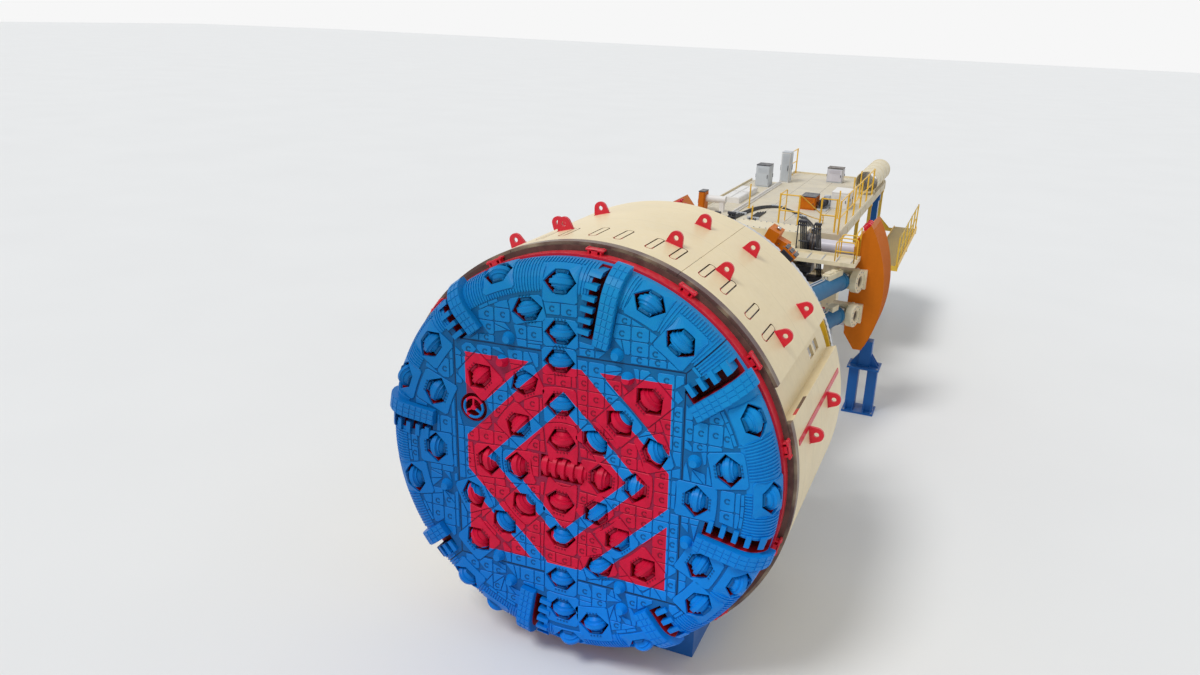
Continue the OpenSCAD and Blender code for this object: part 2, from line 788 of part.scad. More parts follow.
module socket() {
    block = 300;
    cheek_t = 80;
    cheek_r = 390;
    eye_r = 130;
    foot_out = 630;
    foot_y = 1200 - shoe_len / 2 - seat;
    difference() {
        union() {
            box([-block, -60, -block], [block, foot_y, block]);
            box([-block, 120, -block], [foot_out, foot_y, block]);
            intersection() {
                translate([block - eps, 0, 0]) rotate([0, 90, 0]) rotate([0, 0, 22.5])
                    cylinder(r = cheek_r, h = cheek_t + eps, $fn = 8);
                box([0, -big, -big], [big, foot_y, big]);
            }
        }
        sphere(r = BALL_R + run_gap, $fn = 64);
        rotate([90, 0, 0]) cylinder(r = BALL_R + run_gap, h = 400, $fn = 64);
        rotate([0, 90, 0]) cylinder(r = eye_r, h = 1000, $fn = 48);
    }
}

module thrust_sockets() { thrust_frame() socket(); }

module thrust_balls() {
    thrust_frame() difference() {
        sphere(r = BALL_R, $fn = 64);
        cylinder(r = 60, h = 600, center = true, $fn = 32);
        rotate([0, 0, -thrust_angle]) box([-80, -500, -62], [80, 90, 62]);
    }
}

// Along the cylinder: local Z points from the rear pivot to the rod's pin
module along_thrust() {
    thrust_frame() rotate([0, 0, -thrust_angle]) rotate([90, 0, 0]) children();
}

THRUST_BARREL_START = 330;
THRUST_BARREL_END = 3900;

module thrust_barrels() {
    along_thrust() difference() {
        union() {
            translate([0, 0, THRUST_BARREL_START])
                cylinder(r = thrust_barrel_r, h = THRUST_BARREL_END - THRUST_BARREL_START, $fn = 64);
            translate([0, 0, THRUST_BARREL_END - 260]) cylinder(r = thrust_barrel_r + 50, h = 260, $fn = 64);
            translate([-60, -60, 0]) cube([120, 120, THRUST_BARREL_START + eps]);
            rotate([90, 0, 0]) cylinder(r = 60 - run_gap, h = 2 * BALL_R - 50, center = true, $fn = 32);
        }
        translate([0, 0, THRUST_BARREL_START + 220]) cylinder(r = thrust_rod_r + run_gap, h = 6000, $fn = 64);
    }
}

EYE_NECK = 520;
EYE_T = 220;

module thrust_rods() {
    along_thrust() {
        translate([0, 0, 1700]) cylinder(r = thrust_rod_r, h = thrust_dist - 1700 - EYE_NECK, $fn = 64);
        translate([-EYE_NECK / 4, -EYE_T / 2, thrust_dist - EYE_NECK - eps])
            cube([EYE_NECK / 2, EYE_T, EYE_NECK - 100]);
        translate([0, 0, thrust_dist]) rotate([90, 0, 0]) difference() {
            cylinder(r = 200, h = EYE_T, center = true, $fn = 64);
            cylinder(r = 80, h = 400, center = true, $fn = 64);
        }
    }
}

module gripper_shoe_r() { color(ORANGE) machine() shoe(); }
module gripper_shoe_l() { color(ORANGE) machine() mirror([1, 0, 0]) shoe(); }
module gripper_rods_r() { color(STEEL) machine() grip_rods(); }
module gripper_rods_l() { color(STEEL) machine() mirror([1, 0, 0]) grip_rods(); }
module thrust_sockets_r() { color(CREAM) machine() thrust_sockets(); }
module thrust_sockets_l() { color(CREAM) machine() mirror([1, 0, 0]) thrust_sockets(); }
module thrust_balls_r() { color(STEEL) machine() thrust_balls(); }
module thrust_balls_l() { color(STEEL) machine() mirror([1, 0, 0]) thrust_balls(); }
module thrust_barrels_r() { color(TEAL) machine() thrust_barrels(); }
module thrust_barrels_l() { color(TEAL) machine() mirror([1, 0, 0]) thrust_barrels(); }
module thrust_rods_r() { color(STEEL) machine() thrust_rods(); }
module thrust_rods_l() { color(STEEL) machine() mirror([1, 0, 0]) thrust_rods(); }

// Rear support: cross beam under the main beam with two leg housings
LEG_X = 1500;
LEG_Y = 19600;
LEG_HALF = 240;
HOUSING_WALL = 60;

module rear_support() {
    h = LEG_HALF + HOUSING_WALL;
    color(CREAM) machine() difference() {
        union() {
            box([-LEG_X, LEG_Y - 350, -beam_h / 2 - 600], [LEG_X, LEG_Y + 350, -beam_h / 2 - seat]);
            both_sides() box([LEG_X - h, LEG_Y - h, -2100], [LEG_X + h, LEG_Y + h, 300]);
        }
        both_sides() box([LEG_X - LEG_HALF - run_gap, LEG_Y - LEG_HALF - run_gap, -big],
            [LEG_X + LEG_HALF + run_gap, LEG_Y + LEG_HALF + run_gap, big]);
    }
}

module rear_leg() {
    foot_h = 160;
    box([LEG_X - LEG_HALF, LEG_Y - LEG_HALF, -axis_h + foot_h - eps], [LEG_X + LEG_HALF, LEG_Y + LEG_HALF, 250]);
    box([LEG_X - 500, LEG_Y - 650, -axis_h], [LEG_X + 500, LEG_Y + 650, -axis_h + foot_h]);
}

module rear_leg_r() { color(STEEL) machine() rear_leg(); }
module rear_leg_l() { color(STEEL) machine() mirror([1, 0, 0]) rear_leg(); }

// Belt conveyor: frame and belt inside the beam, and the discharge drum behind it
DRUM_Y = 23200;
DRUM_R = 260;
BELT_HALF = 500;
BELT_T = 26;
BELT_GAP = 6;
BELT_Z = -200;

module conveyor_frame() {
    cheek_x = 620;
    color(GREY) machine() difference() {
        union() {
            both_sides() box([cheek_x - 40, beam_y3 - 1500, -beam_h / 2 + beam_t + seat],
                [cheek_x, DRUM_Y + 500, 100]);
            box([-cheek_x, beam_y3 - 1500, -beam_h / 2 + beam_t + seat], [cheek_x, DRUM_Y - 400, -beam_h / 2 + beam_t + 60]);
        }
        translate([0, DRUM_Y, BELT_Z]) rotate([0, 90, 0]) cylinder(r = 80 + seat, h = 3000, center = true, $fn = 48);
    }
}

module conveyor_belt() {
    color(DARK) machine() {
        box([-BELT_HALF, 1600, BELT_Z + DRUM_R + BELT_GAP], [BELT_HALF, DRUM_Y, BELT_Z + DRUM_R + BELT_T]);
        box([-BELT_HALF, 1600, BELT_Z - DRUM_R - BELT_T], [BELT_HALF, DRUM_Y, BELT_Z - DRUM_R - BELT_GAP]);
        difference() {
            translate([0, DRUM_Y - eps, BELT_Z]) rotate([0, 90, 0])
                cylinder(r = DRUM_R + BELT_T, h = 2 * BELT_HALF, center = true, $fn = 64);
            translate([0, DRUM_Y - eps, BELT_Z]) rotate([0, 90, 0])
                cylinder(r = DRUM_R + BELT_GAP, h = 2 * BELT_HALF + 10, center = true, $fn = 64);
            box([-big, 0, -big], [big, DRUM_Y - eps, big]);
        }
    }
}

module conveyor_drum() {
    color(RED) machine() translate([0, DRUM_Y, BELT_Z]) rotate([0, 90, 0]) {
        cylinder(r = DRUM_R, h = 2 * BELT_HALF, center = true, $fn = 64);
        cylinder(r = 80, h = 1400, center = true, $fn = 48);
    }
}

// Rear deck on two long beams, with posts down to the main beam
DECK_T = 60;
DECK_BEAM_H = 260;
WING_X = 3300;
WING_T = 200;

module rear_deck() {
    under = deck_z - DECK_T - DECK_BEAM_H;
    color(CREAM) machine() {
        box([-deck_half, deck_y, deck_z - DECK_T], [deck_half, deck_y + deck_len, deck_z]);
        both_sides() {
            box([deck_half - 180, deck_y, under], [deck_half, deck_y + deck_len, deck_z - DECK_T + eps]);
            box([500, deck_y, under], [680, deck_y + deck_len, deck_z - DECK_T + eps]);
            for (y = [deck_y + 900, deck_y + 3600]) box([500, y, beam_h / 2 + seat], [680, y + 300, under + eps]);
        }
        for (y = [deck_y, deck_y + 2400, deck_y + 4800, deck_y + 7200, deck_y + 9600, deck_y + deck_len - 180])
            box([-deck_half, y, under + 40], [deck_half, y + 180, deck_z - DECK_T + eps]);
        box([-WING_X, deck_y + 800, deck_z - WING_T], [eps - deck_half, deck_y + 9400, deck_z]);
        tow_clevis(deck_y + deck_len, under);
    }
}

// Two plates under the deck's last cross member, with a hole for the towed train's pin
module tow_clevis(y, z) {
    half_gap = 45;
    plate_t = 60;
    difference() {
        both_sides() box([half_gap, y - 430, z - 260], [half_gap + plate_t, y - 20, z + 60]);
        translate([0, y - 290, z - 120]) rotate([0, 90, 0]) cylinder(r = 60, h = 400, center = true);
    }
}

RAIL_R = 22;
POST_R = 30;
RAIL_H = 1100;

// Railing along Y at x, from y1 to y2, standing on z
module rail_y(x, y1, y2, z) {
    n = max(1, round((y2 - y1) / 1500));
    for (i = [0:n]) translate([x, y1 + (y2 - y1) * i / n, z]) cylinder(r = POST_R, h = RAIL_H + POST_R, $fn = 16);
    for (h = [RAIL_H / 2, RAIL_H]) translate([x, y1 - RAIL_R, z + h]) rotate([-90, 0, 0])
        cylinder(r = RAIL_R, h = y2 - y1 + 2 * RAIL_R, $fn = 16);
}

// Railing along X from x1 to x2, standing on z
module rail_x(x1, x2, y, z) {
    for (x = [x1, x2]) translate([x, y, z]) cylinder(r = POST_R, h = RAIL_H + POST_R, $fn = 16);
    for (h = [RAIL_H / 2, RAIL_H]) translate([x1 - RAIL_R, y, z + h]) rotate([0, 90, 0])
        cylinder(r = RAIL_R, h = x2 - x1 + 2 * RAIL_R, $fn = 16);
}

module deck_rails() {
    front_y = deck_y + 300;
    color(YELLOW) machine() {
        rail_y(deck_half - 60, deck_y + 60, deck_y + deck_len - DUCT_LEN - 200, deck_z + seat);
        rail_y(60 - deck_half, deck_y + 10300, deck_y + deck_len - 60, deck_z + seat);
        rail_x(-60, 600, front_y, deck_z + seat);
        rail_x(1350, 1850, front_y, deck_z + seat);
    }
}

// A row of boxes on the deck: x, y from the deck's front, width, length, height
module on_deck(rows) {
    for (b = rows)
        box([b[0], deck_y + b[1], deck_z + seat], [b[0] + b[2], deck_y + b[1] + b[3], deck_z + b[4]]);
}

module deck_boxes() {
    color(GREY) machine() on_deck([[-270, 10800, 650, 600, 620], [-2750, 7800, 550, 700, 900]]);
}

TANK_X = -3050;

module deck_tanks() {
    color(ORANGE) machine() on_deck([[-20, 3800, 540, 900, 480], [TANK_X - 210, 1300, 210, 500, 700]]);
}

// Cream cabinets and covers, and a cylinder lying beside the orange tank
module deck_cabinets() {
    cyl_r = 130;
    color(CREAM) machine() {
        on_deck([[1000, 4500, 600, 1200, 630], [-2070, 9450, 370, 550, 1300],
            [-2950, 3500, 650, 1400, 200], [-2950, 5000, 650, 1400, 200]]);
        translate([TANK_X + seat, deck_y + 1550, deck_z + 450]) rotate([0, 90, 0]) cylinder(r = cyl_r, h = 750);
        box([TANK_X + 550, deck_y + 1450, deck_z + seat], [TANK_X + 700, deck_y + 1650, deck_z + 400]);
    }
}

DUCT_R = 450;
DUCT_LEN = 4200;
DUCT_T = 12;
DUCT_LIFT = 60;

module vent_duct() {
    color(CREAM) machine() translate([deck_half - 350, deck_y + deck_len - DUCT_LEN, deck_z + DUCT_R + DUCT_LIFT])
        difference() {
            union() {
                rotate([-90, 0, 0]) cylinder(r = DUCT_R, h = DUCT_LEN);
                for (y = [400, DUCT_LEN - 600]) box([-300, y, -DUCT_R - DUCT_LIFT + seat], [300, y + 200, -DUCT_R + 150]);
            }
            translate([0, -eps, 0]) rotate([-90, 0, 0]) cylinder(r = DUCT_R - DUCT_T, h = DUCT_LEN + 2 * eps);
        }
}

module walkway() {
    y1 = deck_y + 5000;
    y2 = deck_y + deck_len;
    z = -600;
    box([2700, y1, z - 60], [3700, y2, z]);
    for (y = [y1, y1 + 3600, y2 - 200]) {
        box([deck_half - 100, y, z - 200], [3700, y + 120, z - 60 + eps]);
        box([deck_half - 160, y, z - 200], [deck_half - 40, y + 120, deck_z - DECK_T - DECK_BEAM_H - seat]);
    }
    rail_y(3640, y1 + 50, y2 - 50, z - eps);
}

module walkway_r() { color(YELLOW) machine() walkway(); }
module walkway_l() { color(YELLOW) machine() mirror([1, 0, 0]) walkway(); }

// Stands: one under each gripper shoe, and a portal under the deck's rear
module gripper_stand() {
    post_top = shoe_dz - shoe_h / 2 - run_gap;
    post_in = 670;
    cap_z = -2750;
    color(STAND_BLUE) machine() translate([shoe_face + post_in, grip_y + 300, 0]) {
        box([-520, -420, -axis_h], [520, 420, -axis_h + 60]);
        for (x = [-300, 300]) box([x - 160, -200, -axis_h + 59], [x + 160, 200, cap_z - 59]);
        box([-520, -420, cap_z - 60], [520, 420, cap_z]);
        box([-190, -190, cap_z - eps], [190, 190, post_top]);
    }
}

module gripper_stand_r() { gripper_stand(); }
module gripper_stand_l() { mirror([1, 0, 0]) gripper_stand(); }

module rear_stand() {
    y = deck_y + deck_len - 1500;
    top = deck_z - DECK_T - DECK_BEAM_H - seat;
    color(STAND_BLUE) machine() {
        both_sides() {
            box([deck_half - 350, y - 150, -axis_h + 59], [deck_half - 50, y + 150, top - 299]);
            box([deck_half - 600, y - 500, -axis_h], [deck_half + 200, y + 500, -axis_h + 60]);
        }
        box([-deck_half, y - 150, top - 300], [deck_half, y + 150, top]);
    }
}

cradle();
shield_body();
front_lip();
seal_ring();
lower_lugs();
shield_roof();
roof_lugs();
shield_side_r();
side_lugs_r();
shield_side_l();
side_lugs_l();
head_center();
head_segments();
head_cutters();
head_buckets();
head_fittings();
head_hub();
centre_cutters();
cutterhead_support();
drive_motors();
beam_front();
thrust_ears();
beam_rear();
erector_frame();
erector_ring();
erector_grips();
drill_frame();
drill_mast_r();
drill_mast_l();
gripper_carriage();
gripper_barrels();
gripper_shoe_r();
gripper_rods_r();
thrust_sockets_r();
gripper_shoe_l();
gripper_rods_l();
thrust_sockets_l();
thrust_balls_r();
thrust_barrels_r();
thrust_rods_r();
thrust_balls_l();
thrust_barrels_l();
thrust_rods_l();
rear_support();
rear_leg_r();
rear_leg_l();
conveyor_frame();
conveyor_belt();
conveyor_drum();
rear_deck();
deck_rails();
deck_boxes();
deck_tanks();
deck_cabinets();
vent_duct();
walkway_r();
walkway_l();
gripper_stand_r();
gripper_stand_l();
rear_stand();
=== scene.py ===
"""Dresses the tunnel boring machine: paint on every part, wear plates and welds on the cutting head,
bolts, hoses, pipes and trim. Metres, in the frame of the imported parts: forward is -Y, up is +Z."""

import math

import bpy
import numpy as np
from mathutils import Matrix, Vector


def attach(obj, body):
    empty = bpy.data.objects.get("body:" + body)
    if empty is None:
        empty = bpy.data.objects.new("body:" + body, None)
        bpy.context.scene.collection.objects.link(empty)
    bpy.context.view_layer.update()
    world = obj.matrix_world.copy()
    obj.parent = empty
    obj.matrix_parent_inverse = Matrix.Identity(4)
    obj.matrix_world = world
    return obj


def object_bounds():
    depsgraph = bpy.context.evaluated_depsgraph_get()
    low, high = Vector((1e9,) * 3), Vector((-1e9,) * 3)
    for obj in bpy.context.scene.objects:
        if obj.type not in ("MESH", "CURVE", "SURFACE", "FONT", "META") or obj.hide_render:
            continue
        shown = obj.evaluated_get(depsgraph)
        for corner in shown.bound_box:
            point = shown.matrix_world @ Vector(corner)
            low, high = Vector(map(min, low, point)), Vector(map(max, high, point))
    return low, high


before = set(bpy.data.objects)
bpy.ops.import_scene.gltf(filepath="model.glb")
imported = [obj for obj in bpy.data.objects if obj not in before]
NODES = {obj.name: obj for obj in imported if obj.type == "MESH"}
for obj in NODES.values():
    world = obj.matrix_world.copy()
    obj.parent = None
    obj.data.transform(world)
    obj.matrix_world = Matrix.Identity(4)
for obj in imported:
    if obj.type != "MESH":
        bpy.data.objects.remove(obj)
PACKED_BOX = [list(corner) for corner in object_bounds()]

# The middle of the shield's front edge. Pieces are made round it and then shifted there
SHIELD_Y, AXIS_Z, SHIELD_R = -13.865, 4.4, 4.15
ORIGIN = np.array([0, SHIELD_Y, AXIS_Z])


# camera

FOCAL_PX, PHOTO_WIDTH_PX, SENSOR_MM = 928, 1200, 36
CAMERA_AT, FAR_CLIP = (6.439, -28.920, 12.432), 500
CAMERA_RIGHT = (0.91899, 0.39254, 0.03712)
CAMERA_UP = (-0.16119, 0.28811, 0.94393)
CAMERA_LOOK = (-0.35984, 0.87344, -0.32804)


def make_camera():
    """A camera at the place from which the photo was taken."""
    cam = bpy.data.cameras.new("camera")
    cam.lens = FOCAL_PX / PHOTO_WIDTH_PX * SENSOR_MM
    cam.clip_end = FAR_CLIP
    holder = bpy.data.objects.new("camera", cam)
    bpy.context.scene.collection.objects.link(holder)
    backwards = tuple(-c for c in CAMERA_LOOK)
    turn = Matrix((CAMERA_RIGHT, CAMERA_UP, backwards)).transposed().to_4x4()
    holder.matrix_world = Matrix.Translation(CAMERA_AT) @ turn
    bpy.context.scene.camera = holder


# materials


class Value:
    """A number inside a material. Operators on it add Math nodes."""

    def __init__(self, finish, socket):
        self.finish, self.socket = finish, socket

    def op(self, name, *others):
        return self.finish.maths(name, self, *others)

    def __add__(self, other):
        return self.op("ADD", other)

    def __sub__(self, other):
        return self.op("SUBTRACT", other)

    def __rsub__(self, other):
        return self.finish.maths("SUBTRACT", other, self)

    def __mul__(self, other):
        return self.op("MULTIPLY", other)

    def __truediv__(self, other):
        return self.op("DIVIDE", other)

    def __gt__(self, other):
        return self.op("GREATER_THAN", other)

    def __lt__(self, other):
        return self.op("LESS_THAN", other)

    def __abs__(self):
        return self.op("ABSOLUTE")

    __radd__, __rmul__ = __add__, __mul__

    def least(self, other):
        return self.op("MINIMUM", other)

    def most(self, other):
        return self.op("MAXIMUM", other)

    def root(self):
        return self.op("SQRT")

    def between(self, low, high):
        return (self > low) * (self < high)

    def repeat(self, pitch):
        """Distance from the middle of the nearest of evenly spaced lines, pitch apart."""
        return abs(self.op("WRAP", pitch / 2, -pitch / 2))

    def ramp(self, start, end):
        """0 below start, 1 above end, a straight line between."""
        sockets = {0: self, 1: start, 2: end, 3: 0.0, 4: 1.0}
        node = self.finish.node("ShaderNodeMapRange", {"clamp": True}, sockets)
        return Value(self.finish, node.outputs[0])


class Finish:
    """One procedural material round a Principled shader."""

    def __init__(self, name):
        self.material = bpy.data.materials.new(name)
        self.material.use_nodes = True
        self.tree = self.material.node_tree
        self.tree.nodes.clear()
        self.shader = self.tree.nodes.new("ShaderNodeBsdfPrincipled")
        output = self.tree.nodes.new("ShaderNodeOutputMaterial")
        self.tree.links.new(self.shader.outputs[0], output.inputs["Surface"])
        self.coords = self.tree.nodes.new("ShaderNodeTexCoord")

    def node(self, kind, settings, sockets):
        """Any node: its settings go in first, then the values or links of its sockets."""
        made = self.tree.nodes.new(kind)
        for key, value in settings.items():
            setattr(made, key, value)
        for key, value in sockets.items():
            self.plug(made.inputs[key], value)
        return made

    def plug(self, socket, value):
        if isinstance(value, Value):
            value = value.socket
        if isinstance(value, bpy.types.NodeSocket):
            self.tree.links.new(value, socket)
        elif value is not None:
            socket.default_value = value

    def maths(self, name, *values):
        made = self.node("ShaderNodeMath", {"operation": name}, dict(enumerate(values)))
        return Value(self, made.outputs[0])

    def vector(self, name, *values):
        return self.node("ShaderNodeVectorMath", {"operation": name}, dict(enumerate(values))).outputs[0]

    def blend(self, share, first, second):
        """The first colour where share is 0, the second where it is 1."""
        made = self.node("ShaderNodeMix", {"data_type": "RGBA"}, {0: share, 6: first, 7: second})
        return made.outputs[2]

    def split(self, vector):
        parts = self.node("ShaderNodeSeparateXYZ", {}, {0: vector})
        return [Value(self, out) for out in parts.outputs]

    def place(self, origin=(0, 0, 0)):
        """X, Y and Z of the shaded point, measured from origin."""
        return self.split(self.vector("SUBTRACT", self.coords.outputs["Object"], tuple(origin)))

    def upward(self):
        """How far the surface faces up: 1 level, 0 upright, -1 underneath."""
        return self.split(self.coords.outputs["Normal"])[2]

    def noise(self, scale, detail=3.0, stretch=None):
        where = self.coords.outputs["Object"]
        if stretch:
            where = self.vector("MULTIPLY", where, stretch)
        made = self.node("ShaderNodeTexNoise", {}, {"Vector": where, "Scale": scale, "Detail": detail})
        return Value(self, made.outputs[0])

    def bump(self, height, distance, strength=1.0, under=None):
        made = self.node("ShaderNodeBump", {}, {
            "Height": height, "Distance": distance, "Strength": strength, "Normal": under})
        return made.outputs[0]

    def set(self, **sockets):
        for key, value in sockets.items():
            self.plug(self.shader.inputs[key.replace("_", " ")], value)
        return self


def rgb(r, g, b):
    """A colour, opaque."""
    return (r, g, b, 1.0)


def darker(colour, share):
    """The colour with each of its parts times share."""
    return rgb(*(c * share for c in colour[:3]))


DUST = rgb(0.60, 0.56, 0.50)


def weathered(finish, colour, dust, grime):
    """Paint that varies in broad patches, with dust on what faces up and grime running down the sides."""
    broad = finish.noise(0.7, 4.0)
    speck = finish.noise(9.0, 5.0)
    runs = finish.noise(1.0, 4.0, (2.4, 2.4, 0.25))
    up = finish.upward()
    tone = finish.blend((broad * 0.6 + speck * 0.4).ramp(0.35, 0.65), darker(colour, 0.90), colour)
    tone = finish.blend((runs.ramp(0.54, 0.70) * (1 - abs(up))) * grime, tone, darker(colour, 0.62))
    return finish.blend(up.ramp(0.5, 0.95) * speck.ramp(0.42, 0.62) * dust, tone, DUST)


def sprayed(name, colour, rough=0.42, dust=0.22, grime=0.35, coat=0.0, shine=0.35):
    """Sprayed enamel: weathered colour, uneven gloss, the faint orange peel of thick paint."""
    finish = Finish(name)
    fine = finish.noise(60.0, 3.0)
    wear = finish.noise(3.5, 6.0)
    colour = rgb(*colour)
    finish.set(
        Base_Color=weathered(finish, colour, dust, grime),
        Roughness=rough - 0.06 + 0.2 * wear,
        Normal=finish.bump(fine, 0.0012, 0.35, finish.bump(wear, 0.006, 0.25)),
        Coat_Weight=coat,
        Coat_Roughness=0.15,
        Specular_IOR_Level=shine,
    )
    return finish


HEAD_RED, HEAD_RED_WORN = rgb(0.60, 0.006, 0.042), rgb(0.46, 0.006, 0.034)
# The face's blue: deeper at the bottom, less saturated at the top as a painted sheen
BLUE_LOW, BLUE_TOP_SHEEN = rgb(0.001, 0.215, 0.80), rgb(0.006, 0.255, 0.53)
# Painted shade towards the face's left side, and a deeper blue for random patches
BLUE_LEFT_SHADE, BLUE_DEEP = rgb(0.001, 0.075, 0.27), rgb(0.001, 0.15, 0.52)
# Red inside the openings, and the painted shade it darkens to deep in them
RED_INSIDE, RED_DEPTH_SHADE = rgb(0.42, 0.008, 0.016), rgb(0.10, 0.004, 0.006)
# Painted shade: near-black for small dark parts, dark blue for the bare face between the wear plates; then
# the dark line where the head's blocks meet
NEAR_BLACK_SHADE_BLUE, PLATE_GAP_SHADE_BLUE, SEAM_BLUE = rgb(0.002, 0.006, 0.016), rgb(0.002, 0.02, 0.06), rgb(0.004, 0.03, 0.09)

# The head's square middle block, its flat face, and how far the face stands before the shield's edge
BLOCK_HALF, FLAT_R, FACE_REACH = 2.29, 3.47, 0.92
# The rounding of the head's edge, and the turn at which the head stopped
GAUGE_R, HEAD_TURN = 0.48, math.radians(1.6)
FIELD_HALF, OUTER_RING, INNER_RING = 2.05, (2.40, 2.76), (1.24, 1.58)


def diamonds(edge, slope):
    """A square field less two square rings that stand on their corners."""
    rings = slope.between(*OUTER_RING).most(slope.between(*INNER_RING))
    return (edge < FIELD_HALF) * (1 - rings)


def below_face(x, y, z):
    """Distance from the axis, and depth below the head's skin: over the rounding the skin falls back by
    what a quarter circle falls."""
    r = (x * x + z * z).root()
    over = (r - FLAT_R).most(0.0)
    front = GAUGE_R - (GAUGE_R * GAUGE_R - over * over).most(0.0).root() - FACE_REACH
    return r, (y - front) * (r < 3.94)


def head_paint(name, deep=True, seams=True, shade=1.0):
    """The cutting head's paint. Blue all over, less saturated towards the top as a painted sheen and darker
    towards the left as painted shade, with a red figure of nested diamonds in a square field on the middle
    block, red below the face inside the openings that darkens with depth as painted shade, painted shade on
    the bare face where it shows between the wear plates, and dark lines where the head's blocks meet. A shade
    below 1 darkens the whole paint towards near-black, as painted shade."""
    finish = Finish(name)
    x, y, z = finish.place(ORIGIN)
    c, s = math.cos(HEAD_TURN), math.sin(HEAD_TURN)
    ax, az = abs(x * c + z * s), abs(z * c - x * s)
    edge = ax.most(az)
    figure = diamonds(edge, ax + az)
    broad = finish.noise(0.5, 3.0)
    speck = finish.noise(7.0, 5.0)
    # Painted sheen: the blue less saturated towards the top, where the face reflects bright light; deeper
    # blue at the bottom
    blue = finish.blend(z.ramp(-3.4, 3.4), BLUE_LOW, BLUE_TOP_SHEEN)
    # Painted shade: the blue darker towards the face's left side
    blue = finish.blend(x.ramp(1.6, -3.4) * 0.62, blue, BLUE_LEFT_SHADE)
    blue = finish.blend((broad * 0.5 + speck * 0.5).ramp(0.38, 0.62) * 0.4, blue, BLUE_DEEP)
    red = finish.blend(speck.ramp(0.4, 0.62) * 0.6, HEAD_RED, HEAD_RED_WORN)
    colour = finish.blend(figure, blue, red)
    # Painted shade: the whole colour darkened towards near-black
    if shade < 1:
        colour = finish.blend(1 - shade, colour, NEAR_BLACK_SHADE_BLUE)
    if deep:
        r, below = below_face(x, y, z)
        # Painted shade: the bare face where it shows between and round the wear plates is darkened, as shade
        # in the gaps
        colour = finish.blend((r < FLAT_R) * (below < 0.02) * 0.5, colour, PLATE_GAP_SHADE_BLUE)
        colour = finish.blend(below.ramp(0.022, 0.03), colour, RED_INSIDE)
        # Painted shade: the red inside the openings darker with depth
        colour = finish.blend(below.ramp(0.10, 0.34), colour, RED_DEPTH_SHADE)
    if seams:
        block = abs(edge - BLOCK_HALF) < 0.013
        diagonal = (abs(ax - az) < 0.017) * (edge > BLOCK_HALF)
        colour = finish.blend(block.most(diagonal), colour, SEAM_BLUE)
    finish.set(
        Base_Color=colour, Roughness=0.30 + 0.18 * speck, Specular_IOR_Level=0.14,
        Normal=finish.bump(finish.noise(40.0, 4.0), 0.002, 0.4, finish.bump(speck, 0.01, 0.3)),
    )
    return finish


# Along the shield from its front edge: primer behind the lip, ovals with their red front part, welds
PRIMER_END, OVAL_Y, OVAL_RED_END, WELDS_Y = 0.19, (0.46, 1.43), 0.78, (2.35, 3.93)
SHIELD_CREAM, PRIMER_BROWN = rgb(0.845, 0.695, 0.42), rgb(0.085, 0.038, 0.030)
OVAL_GROOVE_SHADE, OVAL_RED = rgb(0.10, 0.045, 0.03), rgb(0.60, 0.02, 0.03)


def shield_paint(name):
    """Cream enamel on rolled plate: long shallow waves of the plate, ground welds across, dust on the crown,
    grooves round the ovals darkened as painted shade, red in their front part, and bare primer behind the
    lip."""
    finish = Finish(name)
    x, y, z = finish.place(ORIGIN)
    tone = weathered(finish, SHIELD_CREAM, 0.10, 0.22)
    r = (x * x + z * z).root()
    groove = r.between(4.08, SHIELD_R - 0.0035) * y.between(*OVAL_Y)
    # Painted shade: the ovals' grooves darkened
    tone = finish.blend(groove, tone, OVAL_GROOVE_SHADE)
    tone = finish.blend(groove * (y < OVAL_RED_END), tone, OVAL_RED)
    tone = finish.blend((y < PRIMER_END) * (r > 4.05), tone, PRIMER_BROWN)
    weld = abs(y - WELDS_Y[0]).least(abs(y - WELDS_Y[1])) < 0.012
    tone = finish.blend(weld * 0.35, tone, darker(SHIELD_CREAM, 0.72))
    scuffs = y.ramp(0.5, 0.0) * finish.noise(2.0, 4.0).ramp(0.4, 0.7)
    tone = finish.blend(scuffs * 0.5, tone, darker(SHIELD_CREAM, 0.7))
    waves = finish.bump(finish.noise(0.9, 2.0), 0.02, 0.35)
    return finish.set(
        Base_Color=tone, Roughness=0.38 + 0.16 * finish.noise(4.0, 5.0),
        Coat_Weight=0.15, Coat_Roughness=0.25,
        Normal=finish.bump(finish.noise(50.0, 3.0), 0.0012, 0.3, waves),
    )


def primer(name):
    """Matt brown primer, blotched, with paler rubbed streaks."""
    finish = Finish(name)
    spots = finish.noise(5.0, 6.0)
    rub = finish.noise(2.0, 5.0, (1.0, 0.3, 1.0))
    tone = finish.blend(spots.ramp(0.35, 0.65), rgb(0.060, 0.026, 0.020), rgb(0.115, 0.055, 0.042))
    tone = finish.blend(rub.ramp(0.58, 0.75) * 0.5, tone, rgb(0.22, 0.14, 0.11))
    return finish.set(Base_Color=tone, Roughness=0.62 + 0.2 * spots, Normal=finish.bump(spots, 0.004, 0.4))


def steel(name, colour=(0.56, 0.57, 0.60), rough=0.22):
    """Ground and polished steel: fine marks round the rod, an oily film in patches."""
    finish = Finish(name)
    marks = finish.noise(6.0, 4.0, (1.0, 12.0, 1.0))
    film = finish.noise(1.6, 3.0)
    tone = finish.blend(film.ramp(0.4, 0.7), rgb(*colour), darker(colour, 0.72))
    return finish.set(Base_Color=tone, Metallic=1.0, Roughness=rough + 0.16 * marks,
                      Normal=finish.bump(marks, 0.001, 0.3))


